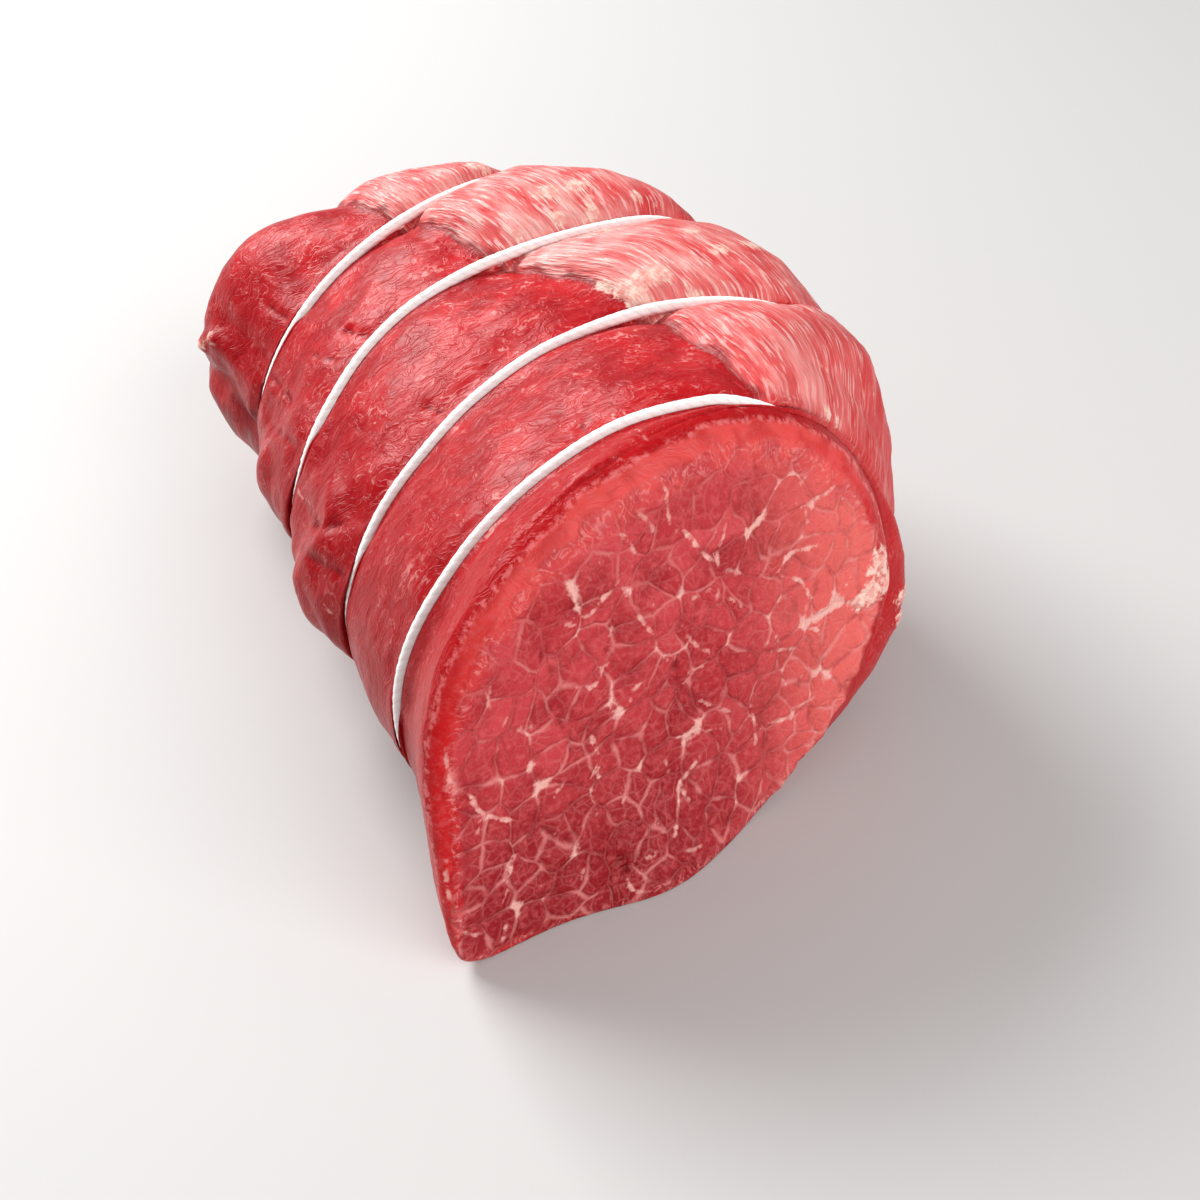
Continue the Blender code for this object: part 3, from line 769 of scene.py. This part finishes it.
class Graph:
    """Short names for the nodes of a shader tree or a geometry tree."""

    def __init__(self, tree):
        self.tree = tree
        self.shades = tree.bl_idname == "ShaderNodeTree"

    def node(self, kind, inputs=(), **settings):
        made = self.tree.nodes.new(kind)
        for name, value in settings.items():
            setattr(made, name, value)
        self.feed(made, inputs)
        return made

    def feed(self, node, inputs):
        """Links or sets inputs of a node, each by its name or number."""
        for name, value in dict(inputs).items():
            value = getattr(value, "socket", value)
            if isinstance(value, bpy.types.NodeSocket):
                self.tree.links.new(value, node.inputs[name])
            else:
                node.inputs[name].default_value = value

    def math(self, operation, *values):
        made = self.node("ShaderNodeMath", enumerate(values), operation=operation)
        return Value(self, made.outputs[0])

    def vector(self, operation, *values):
        return self.node("ShaderNodeVectorMath", enumerate(values), operation=operation).outputs[0]

    def scaled(self, place, factor):
        inputs = {0: place, "Scale": factor}
        return self.node("ShaderNodeVectorMath", inputs, operation="SCALE").outputs[0]

    def split(self, place):
        made = self.node("ShaderNodeSeparateXYZ", {0: place})
        return [Value(self, socket) for socket in made.outputs]

    def join(self, x, y, z=0.0):
        return self.node("ShaderNodeCombineXYZ", {0: x, 1: y, 2: z}).outputs[0]

    def stored(self, name, kind="Vector"):
        """A vector or a number that each point of the mesh knows."""
        if self.shades:
            return self.node("ShaderNodeAttribute", attribute_name=name).outputs[kind]
        data_type = "FLOAT_VECTOR" if kind == "Vector" else "FLOAT"
        made = self.node("GeometryNodeInputNamedAttribute", {"Name": name}, data_type=data_type)
        return made.outputs["Attribute"]

    def number(self, name):
        return Value(self, self.stored(name, "Fac"))

    def numbers(self, name):
        return self.split(self.stored(name))

    def noise_node(self, place, size, detail=2.0, roughness=0.5, flat=False):
        inputs = {"Vector": place, "Scale": 1 / size, "Detail": detail, "Roughness": roughness}
        return self.node("ShaderNodeTexNoise", inputs, noise_dimensions="2D" if flat else "3D")

    def noise(self, place, size, **settings):
        """Noise about 0.5 with features of a size in the units of the place."""
        return Value(self, self.noise_node(place, size, **settings).outputs[0])

    def drifted(self, start, place, size, amount):
        """The start moved by noise of a size at the place, by up to about half the amount."""
        colour = self.noise_node(place, size).outputs["Color"]
        moved = self.vector("SUBTRACT", colour, (0.5, 0.5, 0.5))
        return self.vector("ADD", start, self.scaled(moved, amount))

    def cells(self, place, size, feature="F1"):
        """Flat cells of a size: their node and the distance from the nearest middle or edge."""
        inputs = {"Vector": place, "Scale": 1 / size}
        made = self.node("ShaderNodeTexVoronoi", inputs, feature=feature, voronoi_dimensions="2D")
        return made, Value(self, made.outputs["Distance"])


def linear(colour):
    """Display red, green, blue from 0 to 255 as a linear colour with alpha."""
    parts = [c / 255 for c in colour]
    return (*[c / 12.92 if c <= 0.04045 else ((c + 0.055) / 1.055) ** 2.4 for c in parts], 1.0)


class Paint:
    """A colour that further colours are laid over, each with its share."""

    def __init__(self, colour):
        self.colour = colour

    def over(self, share, colour):
        self.colour = share.blend(self.colour, colour)


class Places:
    """Where a point of the roast is in millimetres, and its slow patterns, in the geometry tree."""

    def __init__(self, g):
        self.spot = g.scaled(g.stored("rest"), 1000.0)
        self.x, self.y, self.z = g.split(self.spot)
        wing, along, lower = g.split(g.scaled(g.stored("lay"), 1000.0))
        rim, self.twine, turn = g.split(g.scaled(g.stored("edge"), 1000.0))
        self.turn = turn * 0.001
        self.mottle = g.noise(self.spot, 7.0, detail=3.0, roughness=0.6)
        self.patches = g.noise(self.spot, 4.5)
        self.swell = g.noise(self.spot, 9.0)
        ragged = g.noise(self.spot, 5.0, detail=3.0) - 0.5
        self.rim = rim + ragged * 3.0
        self.wing = wing + ragged * 5.0
        self.lower = lower + (self.swell - 0.5) * 5.0 + LOWER_LIFT
        bend = g.noise(g.join(wing, along * 0.5), 18.0, detail=1.0) - 0.5
        self.grain = g.join(wing + bend * 4.0, along)
        self.broad = g.noise(g.vector("MULTIPLY", self.grain, (1.0, 0.22, 1.0)), 3.2)
        end = self.y.ease(64.0, 71.0)
        flat = g.join(end.mix(wing * 0.5, self.x), end.mix(self.y, self.z + 40.0))
        self.fold = g.drifted(flat, self.spot, 5.0, 6.0)
        bent = g.drifted(self.spot, self.spot, 14.0, 8.0)
        x, _, z = g.split(g.drifted(bent, bent, 4.5, 1.6))
        self.cell = g.join(x, z)

    def kept(self, g):
        """What the material reads, by attribute name."""
        return {"zone": g.join(self.rim, self.wing, self.lower),
                "tone": g.join(self.mottle, self.patches, self.broad),
                "fold": self.fold, "grain": self.grain, "cell": self.cell}


class KeptPlaces:
    """The same places and patterns as the material reads them from the mesh."""

    def __init__(self, g):
        self.spot = g.scaled(g.stored("rest"), 1000.0)
        self.x, self.y, self.z = g.split(self.spot)
        self.turn = g.numbers("edge")[2]
        self.rim, self.wing, self.lower = g.numbers("zone")
        self.mottle, self.patches, self.broad = g.numbers("tone")
        self.fold, self.grain, self.cell = [g.stored(name) for name in ("fold", "grain", "cell")]


def zones(at):
    """Shares of the cut face, the wing muscle and the lower layer at a point."""
    face = at.rim.ease(1.6, 0.2)
    end = (at.y + (at.mottle - 0.5) * 16.0).ease(71.0, 67.0)
    rest = at.y.ease(-43.0, -38.0) * (1.0 - face) * end
    turn = at.turn + (at.mottle - 0.5) * 0.8
    wing = at.wing.ease(0.8, -0.8) * rest * turn.ease(0.2, 0.5)
    lower = at.lower.ease(-0.8, 0.8) * rest * turn.ease(3.85, 3.5)
    return face, wing, lower


def line_share(g, name, rough, soft):
    """Share of a listed line at a point, with ragged edges that fade over a soft width."""
    offset, half, distance = g.numbers(name)
    half = half * rough.ease(0.25, 0.75, 0.08, 0.72)
    away = g.math("MAXIMUM", abs(offset + (rough - 0.5) * 0.6), distance - 0.5)
    return away.ease(half + soft, half * 0.3) * half.ease(0.01, 0.10)


def bundles(g, at):
    """Muscle bundles of the cut face: distance in from the edge, distance from the middle, shade."""
    _, inside = g.cells(at.cell, BUNDLE_SIZE, feature="DISTANCE_TO_EDGE")
    cells, middle = g.cells(at.cell, BUNDLE_SIZE)
    return inside, middle, g.split(cells.outputs["Color"])[0]


def streaks(g, at):
    """Fine streaks of the wing muscle, long along its seam and narrow across it."""
    return g.noise(g.vector("MULTIPLY", at.grain, (1.0, 0.11, 1.0)), 0.62, roughness=0.65, flat=True)


def upper_rim(at):
    """Share of the rim of the cut face that is bright red: not along its foot."""
    return at.turn.ease(1.0, 1.6) * at.turn.ease(3.5, 3.15)


def relief_height(g, at):
    """Height in millimetres of the forms that are large enough for the mesh."""
    face, wing, _ = zones(at)
    inside, _, _ = bundles(g, at)
    swell = at.swell - 0.5
    face_height = inside.ease(0.0, 0.3) * 0.20 + swell * 1.5 - 0.1
    wing_height = (at.broad - 0.5) * 1.1 + (streaks(g, at) - 0.5) * 0.15 + swell * 0.8
    flank = at.turn.ease(2.50, 2.75) * at.turn.ease(3.35, 3.05) * at.y.ease(-30.0, -8.0)
    lumps = flank * (g.noise(at.spot, 11.0, detail=1.0) - 0.5) * 4.6
    skin_height = swell * 0.8 + (at.patches - 0.5) * 0.25 + lumps
    height = face.mix(wing.mix(skin_height, wing_height), face_height)
    nicks = (g.noise(at.spot, 3.6) - 0.5) * upper_rim(at).mix(3.2, 1.2)
    height = height + abs(at.rim).ease(3.5, 0.0) * nicks
    _, half, distance = g.numbers("crease")
    height = height - distance.ease(half * 3.0 + 0.6, 0.0) * (half * 1.8)
    clear = face.mix(at.twine.ease(1.6, 3.6), 1.0)
    return (height + g.number("rise")) * clear * at.z.ease(0.2, 3.0)


def displaced(item):
    """The piece's mesh with its relief applied, and nothing below the surface it lies on."""
    tree = bpy.data.node_groups.new("relief", "GeometryNodeTree")
    tree.interface.new_socket("Geometry", in_out="INPUT", socket_type="NodeSocketGeometry")
    tree.interface.new_socket("Geometry", in_out="OUTPUT", socket_type="NodeSocketGeometry")
    g = Graph(tree)
    at = Places(g)
    offset = g.scaled(g.node("GeometryNodeInputNormal").outputs[0], relief_height(g, at) * MM)
    shape = g.node("NodeGroupInput").outputs[0]
    for name, value in at.kept(g).items():
        inputs = {"Geometry": shape, "Name": name, "Value": value}
        shape = g.node("GeometryNodeStoreNamedAttribute", inputs, data_type="FLOAT_VECTOR",
                       domain="POINT").outputs[0]
    move = g.node("GeometryNodeSetPosition", {"Geometry": shape, "Offset": offset})
    g.node("NodeGroupOutput", {0: move.outputs[0]})
    item.modifiers.new("relief", "NODES").node_group = tree
    graph = bpy.context.evaluated_depsgraph_get()
    mesh = bpy.data.meshes.new_from_object(item.evaluated_get(graph))
    item.modifiers.clear()
    for vertex in mesh.vertices:
        vertex.co.z = max(vertex.co.z, 0)
    return mesh


def principled(name, **settings):
    """A material and its shader, with some of the shader's inputs set."""
    made = bpy.data.materials.new(name)
    made.use_nodes = True
    shader = made.node_tree.nodes["Principled BSDF"]
    for field, value in settings.items():
        shader.inputs[field.replace("_", " ")].default_value = value
    return made, shader


def finish_material(g, shader, colour, height):
    """Feeds the colour and, as a bump, a height in millimetres."""
    bump = g.node("ShaderNodeBump", {"Distance": MM, "Height": height})
    g.feed(shader, {"Base Color": colour, "Normal": bump.outputs[0]})


def skin_look(g, at, speck):
    """Colour and bump of the moist membrane: dark red with pale threads, painted glints along its fine
    crinkles and painted shade on its left flank.
    """
    coarse = g.noise(at.fold, 2.3, detail=1.0, flat=True)
    coarse_line = coarse.near_half(0.05)
    fine_line = g.noise(at.fold, 1.1, detail=1.0, flat=True).near_half(0.07)
    flank = at.turn.ease(2.35, 2.8) * at.turn.ease(4.0, 3.4)
    front = at.rim.ease(19.0, 12.0)
    paint = Paint(at.mottle.ease(0.35, 0.65).blend(SKIN_DARK, SKIN_LIGHT))
    # Painted shade: the left flank is painted a darker red
    paint.over(flank * 0.9, SKIN_FLANK_SHADE)
    paint.over(front * 0.8, FRONT_RED)
    paint.over(speck.ease(0.45, 0.75) * 0.22, SKIN_SPECK)
    # Fewer glints and pale threads on the left flank, as part of its painted shade, and near the front
    calm = g.math("MAXIMUM", flank, front).mix(1.0, 0.35)
    # Painted highlight: pale glints along the fine crinkles, more of them in some patches
    paint.over(fine_line * at.patches.ease(0.40, 0.65).mix(0.05, 0.30) * calm, SKIN_GLINT)
    thread = coarse_line * at.mottle.ease(0.48, 0.60) * speck.ease(0.42, 0.58)
    paint.over(thread * calm * 0.5, THREAD)
    return paint.colour, coarse_line * 0.04 + fine_line * 0.035 + coarse * 0.20


def wing_look(g, at):
    """Colour and bump of the wing muscle: pale streaks along its grain, redder down its side, and a pale
    film at its back that also paints in a broad sheen.
    """
    fine = streaks(g, at)
    down = at.turn.ease(1.90, 1.35)
    front = at.y.ease(10.0, -30.0)
    paint = Paint(at.broad.ease(0.38, 0.64).blend(WING_RED, WING_PINK))
    paint.over(down * 0.85, WING_SIDE)
    # A pale fat film at the back of the wing, also painting in a broad sheen there
    film_and_sheen = at.mottle.ease(0.44, 0.62) * (1.0 - front) * (1.0 - down) * at.y.ease(56.0, 46.0)
    paint.over(film_and_sheen * 0.38, WING_STREAK_AND_SHEEN)
    pale = fine.ease(0.52, 0.62) * at.patches.ease(0.36, 0.60, 0.35, 1.0)
    paint.over(pale * g.math("MAXIMUM", down, front * 0.4).mix(0.75, 0.22), WING_STREAK_AND_SHEEN)
    paint.over(fine.ease(0.44, 0.34) * 0.30, WING_DARK)
    return paint.colour, fine


def face_look(g, at, speck):
    """Colour and bump of the cut face: rosy bundles, with fat that gathers where they meet, painted shade
    in the cracks between them and towards the lower left, and painted light towards the right.
    """
    inside, middle, shade = bundles(g, at)
    _, small = g.cells(at.cell, SMALL_BUNDLE_SIZE, feature="DISTANCE_TO_EDGE")
    rough = speck - 0.5
    upper = at.z.ease(30.0, 55.0)
    high = at.z.ease(35.0, 65.0)
    paint = Paint(shade.blend(FACE_DARK, FACE_LIGHT))
    paint.over(at.mottle.ease(0.42, 0.7) * 0.7, FACE_SHADE)
    # Painted shade: the face darker towards its lower left
    paint.over(at.z.ease(36.0, 8.0) * at.x.ease(24.0, -16.0) * 0.85, FACE_SHADE)
    paint.over(speck.ease(0.42, 0.75) * 0.45, FACE_SPECK)
    # Painted light: the cut face painted lighter towards its right
    paint.over(at.x.ease(4.0, 34.0) * 0.75, FACE_LIT_CORAL)
    fatty = at.patches.ease(0.40, 0.62) * upper.mix(1.0, 0.6)
    paint.over((small + rough * 0.3).ease(0.10, 0.0) * fatty.mix(0.04, 0.20), FACE_NET)
    edge = inside + rough * 0.16
    # Painted shade in the cracks between bundles, where there is little fat
    paint.over(edge.ease(0.09, 0.0) * (1.0 - fatty) * upper.mix(0.5, 0.2), FACE_CRACK_SHADE)
    paint.over(edge.ease(fatty.mix(0.04, 0.12), 0.0) * fatty.mix(0.14, 0.62), FACE_NET)
    paint.over((middle + rough * 0.3 + fatty * 0.20).ease(0.86, 1.0) * 0.8, FACE_FAT)
    border = (at.rim + (at.mottle - 0.5) * 6.0).ease(high.mix(-1.6, -6.0), 1.0)
    rim_colour = at.patches.ease(0.42, 0.66).blend(high.blend(RIM_RED, RIM_CORAL), FACE_LIGHT)
    paint.over(border * upper_rim(at) * 0.7, rim_colour)
    hair = g.noise(at.fold, 0.9, detail=1.0, flat=True).near_half(0.08)
    paint.over(border * hair * speck.ease(0.36, 0.56) * 0.7, FACE_NET)
    return paint.colour, inside.ease(0.0, 0.16) * 0.20 + small.ease(0.0, 0.2) * 0.09 + speck * 0.36


def beef_material():
    """Raw beef: dark moist membrane, pale streaked wing, rosy cut face with fat between its bundles."""
    made, shader = principled("beef", Subsurface_Weight=0.12, Subsurface_Scale=0.0025, IOR=1.40,
                              Subsurface_Radius=(1.0, 0.22, 0.16), Specular_IOR_Level=0.21)
    g = Graph(made.node_tree)
    at = KeptPlaces(g)
    face, wing, lower = zones(at)
    speck = g.noise(at.spot, 1.3, roughness=0.7)
    skin, skin_bump = skin_look(g, at, speck)
    wing_colour, fine = wing_look(g, at)
    face_colour, face_bump = face_look(g, at, speck)

    paint = Paint(skin)
    paint.over(lower, at.mottle.ease(0.4, 0.6).blend(LOWER_RED, LOWER_PINK))
    paint.over(wing, wing_colour)
    rim = Paint(at.z.ease(40.0, 66.0).blend(RIM_RED, RIM_CORAL))
    rim.over(speck.ease(0.42, 0.7) * 0.4, FACE_SPECK)
    rim.over(at.patches.ease(0.45, 0.65) * 0.5, FRONT_RED)
    paint.over(at.rim.ease(-1.0, 1.0) * at.rim.ease(4.8, 3.4) * upper_rim(at) * 0.8, rim.colour)
    # A ragged pale line along the rounded edge of the rim, in the colour of the painted glints
    paint.over(at.rim.ease(3.4, 4.0) * at.rim.ease(5.2, 4.4) * speck.ease(0.4, 0.6) * 0.6, SKIN_GLINT)
    paint.over(face, face_colour)
    # Painted shade in the seams between the muscles
    seam = g.math("MINIMUM", abs(at.wing), abs(at.lower)).ease(1.4, 0.2)
    seam = seam * at.y.ease(-43.0, -39.0) * at.y.ease(71.0, 66.0) * (1.0 - face)
    paint.over(seam * 0.6, HOLLOW_SHADE_RED)
    # Painted shade in the listed creases
    paint.over(line_share(g, "crease", speck, 0.7) * 0.55, HOLLOW_SHADE_RED)
    vein = line_share(g, "vein", speck, 0.45)
    opaque = speck.ease(0.32, 0.58, 0.30, 0.85) * g.numbers("vein")[1].ease(0.05, 0.55, 0.35, 1.0)
    paint.over(vein.ease(0.0, 0.7) * opaque, vein.blend(VEIN_EDGE, VEIN_CORE))
    fat = g.number("fat") + (wing.mix(speck, fine) - 0.5) * 1.5 + at.patches - 0.5
    paint.over(fat.ease(0.35, 0.75) * 0.8, speck.ease(0.35, 0.65).blend(FAT_PINK, FAT_CREAM))

    height = face.mix(wing.mix(skin_bump, fine * 0.5), face_bump)
    finish_material(g, shader, paint.colour, height)
    g.feed(shader, {"Roughness": face.mix(speck.mix(0.24, 0.42), speck.mix(0.22, 0.40))})
    return made


# Twine
TWIST_PITCH = 0.0060
TWINE_SIDES = 24
TWINE_STEP = 0.00036
STRANDS = 3
STRAND_DIP = 0.06
TWINE_FUZZ = 0.025


def twine_route(y, turns):
    """Middle line of a loop, which bridges the seams, and the directions that lead out."""
    spot, out, *past = tight_ring(y, turns)
    hug = bed_height(0.0, np.zeros(len(turns)))
    height = relief(y, turns, *past, seam_share=0.0) - hug - GROOVE_DEPTH
    outline = spot + out * (height + STRING_GAP + STRING_RADIUS)[:, None]
    route = np.column_stack([outline[:, 0], leaning(outline, y), outline[:, 1]])
    outward = np.column_stack([out[:, 0], np.zeros(len(turns)), out[:, 1]])
    return route - BOX_MIDDLE, outward


def resampled(loop, values, count):
    """Evenly spaced points of a closed loop, with values carried along."""
    closed = np.vstack([loop, loop[:1]])
    run = run_along(closed)
    at = np.arange(count) * run[-1] / count
    return read_at(at, run, closed), read_at(at, run, np.vstack([values, values[:1]])), run[-1]


def build_twine(number, y, material):
    route, outward = twine_route(y, turns)
    count = int(run_along(route)[-1] / TWINE_STEP)
    route, outward, length = resampled(route, outward, count)
    along = np.roll(route, -1, axis=0) - np.roll(route, 1, axis=0)
    along /= np.linalg.norm(along, axis=1)[:, None]
    outward -= along * np.sum(along * outward, axis=1)[:, None]
    outward /= np.linalg.norm(outward, axis=1)[:, None]
    side = np.cross(along, outward)
    angle = 2 * math.pi * np.arange(TWINE_SIDES) / TWINE_SIDES
    twist = 2 * math.pi * round(length / TWIST_PITCH) * np.arange(count) / count
    strand = np.abs(np.cos(STRANDS / 2 * (angle - twist[:, None])))
    fuzz = np.random.RandomState(number).uniform(-1, 1, strand.shape) * TWINE_FUZZ
    radius = STRING_RADIUS * (1 - STRAND_DIP + STRAND_DIP * strand ** 0.8 + fuzz)
    around = np.cos(angle)[:, None] * outward[:, None] + np.sin(angle)[:, None] * side[:, None]
    spots = route[:, None] + radius[..., None] * around
    index = np.arange(strand.size).reshape(strand.shape)
    after = np.roll(index, -1, axis=0)
    quads = np.stack([index, np.roll(index, -1, axis=1), np.roll(after, -1, axis=1), after], axis=2)
    name = f"twine_{number}"
    mesh = bpy.data.meshes.new(name)
    mesh.from_pydata(spots.reshape(-1, 3).tolist(), [], quads.reshape(-1, 4).tolist())
    mesh.shade_smooth()
    add_attribute(mesh, "strand", strand)
    add_attribute(mesh, "outer", np.tile(np.cos(angle), (count, 1)))
    mesh.materials.append(material)
    item = placed(name, mesh)
    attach(item, "root")
    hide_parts(f"string_{number}")


def twine_material():
    """White cotton strands, stained pink where they touch the meat."""
    made, shader = principled("cotton_twine", Roughness=0.85, Subsurface_Weight=0.1,
                              Subsurface_Scale=0.0006, Sheen_Weight=0.3)
    g = Graph(made.node_tree)
    place = g.scaled(g.node("ShaderNodeTexCoord").outputs["Object"], 1000.0)
    # Painted shade: the twine greyer in the grooves between its strands
    paint = Paint(g.number("strand").ease(0.1, 0.6).blend(TWINE_SHADE, TWINE_WHITE))
    stain = g.number("outer").ease(0.25, -0.35) * g.noise(place, 2.5).ease(0.3, 0.7)
    paint.over(stain * 0.8, TWINE_STAIN)
    finish_material(g, shader, paint.colour, g.noise(place, 0.25) * 0.08)
    return made


def build_roast(rings):
    spots, lay, edge = surface_arrays(rings)
    front_y = face_plane(np.array([FACE_MIDDLE]))[0]
    front = np.array([FACE_MIDDLE[0], front_y, FACE_MIDDLE[1]]) - BOX_MIDDLE
    back = np.array([TAIL_MIDDLE[0], TAIL_END, TAIL_MIDDLE[1]]) - BOX_MIDDLE
    mesh = closed_mesh("roast", spots, front, back)
    photo = PhotoSurface(mesh)
    points = spots.reshape(-1, 3)
    normals = grid_normals(spots).reshape(-1, 3)
    for name, values in (("rest", spots), ("lay", lay), ("edge", edge)):
        add_attribute(mesh, name, values)
    for name, rows in (("vein", VEINS), ("crease", CREASES)):
        lines = [(row[0], np.array([photo.spot(pixel) for pixel in zip(row[1::2], row[2::2])]))
                 for row in rows]
        add_attribute(mesh, name, line_marks(points, normals, lines).reshape(spots.shape))
    fat = [(radius, rise, photo.spot(pixel)) for radius, rise, *pixel in FAT_SPOTS]
    for name, values in zip(("fat", "rise"), spot_marks(points, fat)):
        add_attribute(mesh, name, values.reshape(spots.shape[:2]))
    item = placed("roast", mesh)
    item.data = displaced(item)
    item.data.name = "roast"
    item.data.materials.append(beef_material())
    item.data.shade_smooth()
    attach(item, "root")
    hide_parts("meat")


# Stage, and for each light its name, place, size in metres and power in watts
FLOOR_CORNERS = ((-3, -3, 0), (3, -3, 0), (3, 3, 0), (-3, 3, 0))
FLOOR_Z = -0.0002
FLOOR_COLOUR = (0.60, 0.59, 0.58, 1.0)
WORLD_COLOUR = (1.0, 1.0, 1.0, 1.0)
WORLD_STRENGTH = 0.36
LIT_PLACE = (0.0, 0.0, 0.03)
LIGHTS = (
    ("key", (-0.35, 0.65, 0.60), (0.60, 0.40), 12.0),
    ("fill", (0.30, -0.70, 0.45), (0.8, 0.8), 6.0),
)


def build_stage():
    mesh = bpy.data.meshes.new("floor")
    mesh.from_pydata(FLOOR_CORNERS, [], [(0, 1, 2, 3)])
    mesh.materials.append(principled("floor", Roughness=0.6, Base_Color=FLOOR_COLOUR)[0])
    floor = placed("floor", mesh)
    floor.location.z = FLOOR_Z


def build_light_and_camera():
    scene = bpy.context.scene
    scene.view_settings.view_transform = "Standard"
    scene.world = bpy.data.worlds.new("studio")
    scene.world.use_nodes = True
    background = scene.world.node_tree.nodes["Background"]
    background.inputs["Color"].default_value = WORLD_COLOUR
    background.inputs["Strength"].default_value = WORLD_STRENGTH
    for name, place, size, power in LIGHTS:
        light = bpy.data.lights.new(name, "AREA")
        light.shape = "RECTANGLE"
        light.size, light.size_y = size
        light.energy = power
        item = placed(name, light)
        item.location = place
        item.rotation_euler = (Vector(LIT_PLACE) - Vector(place)).to_track_quat("-Z", "Y").to_euler()
    camera = bpy.data.cameras.new("camera")
    camera.lens = CAMERA_LENS
    camera.sensor_width = CAMERA_SENSOR
    item = placed("camera", camera)
    item.location = CAMERA_PLACE
    item.rotation_euler = CAMERA_TURN
    scene.camera = item


turns = column_turns()
rim = curve_through(RIM_TURNS, RIM_RADIUS, turns)
build_roast(face_rings(turns, rim) + [roughened(ring) for ring in flesh_rings(turns, rim)])
cotton = twine_material()
for number, y in enumerate(STRING_Y, start=1):
    build_twine(number, y, cotton)
build_stage()
build_light_and_camera()
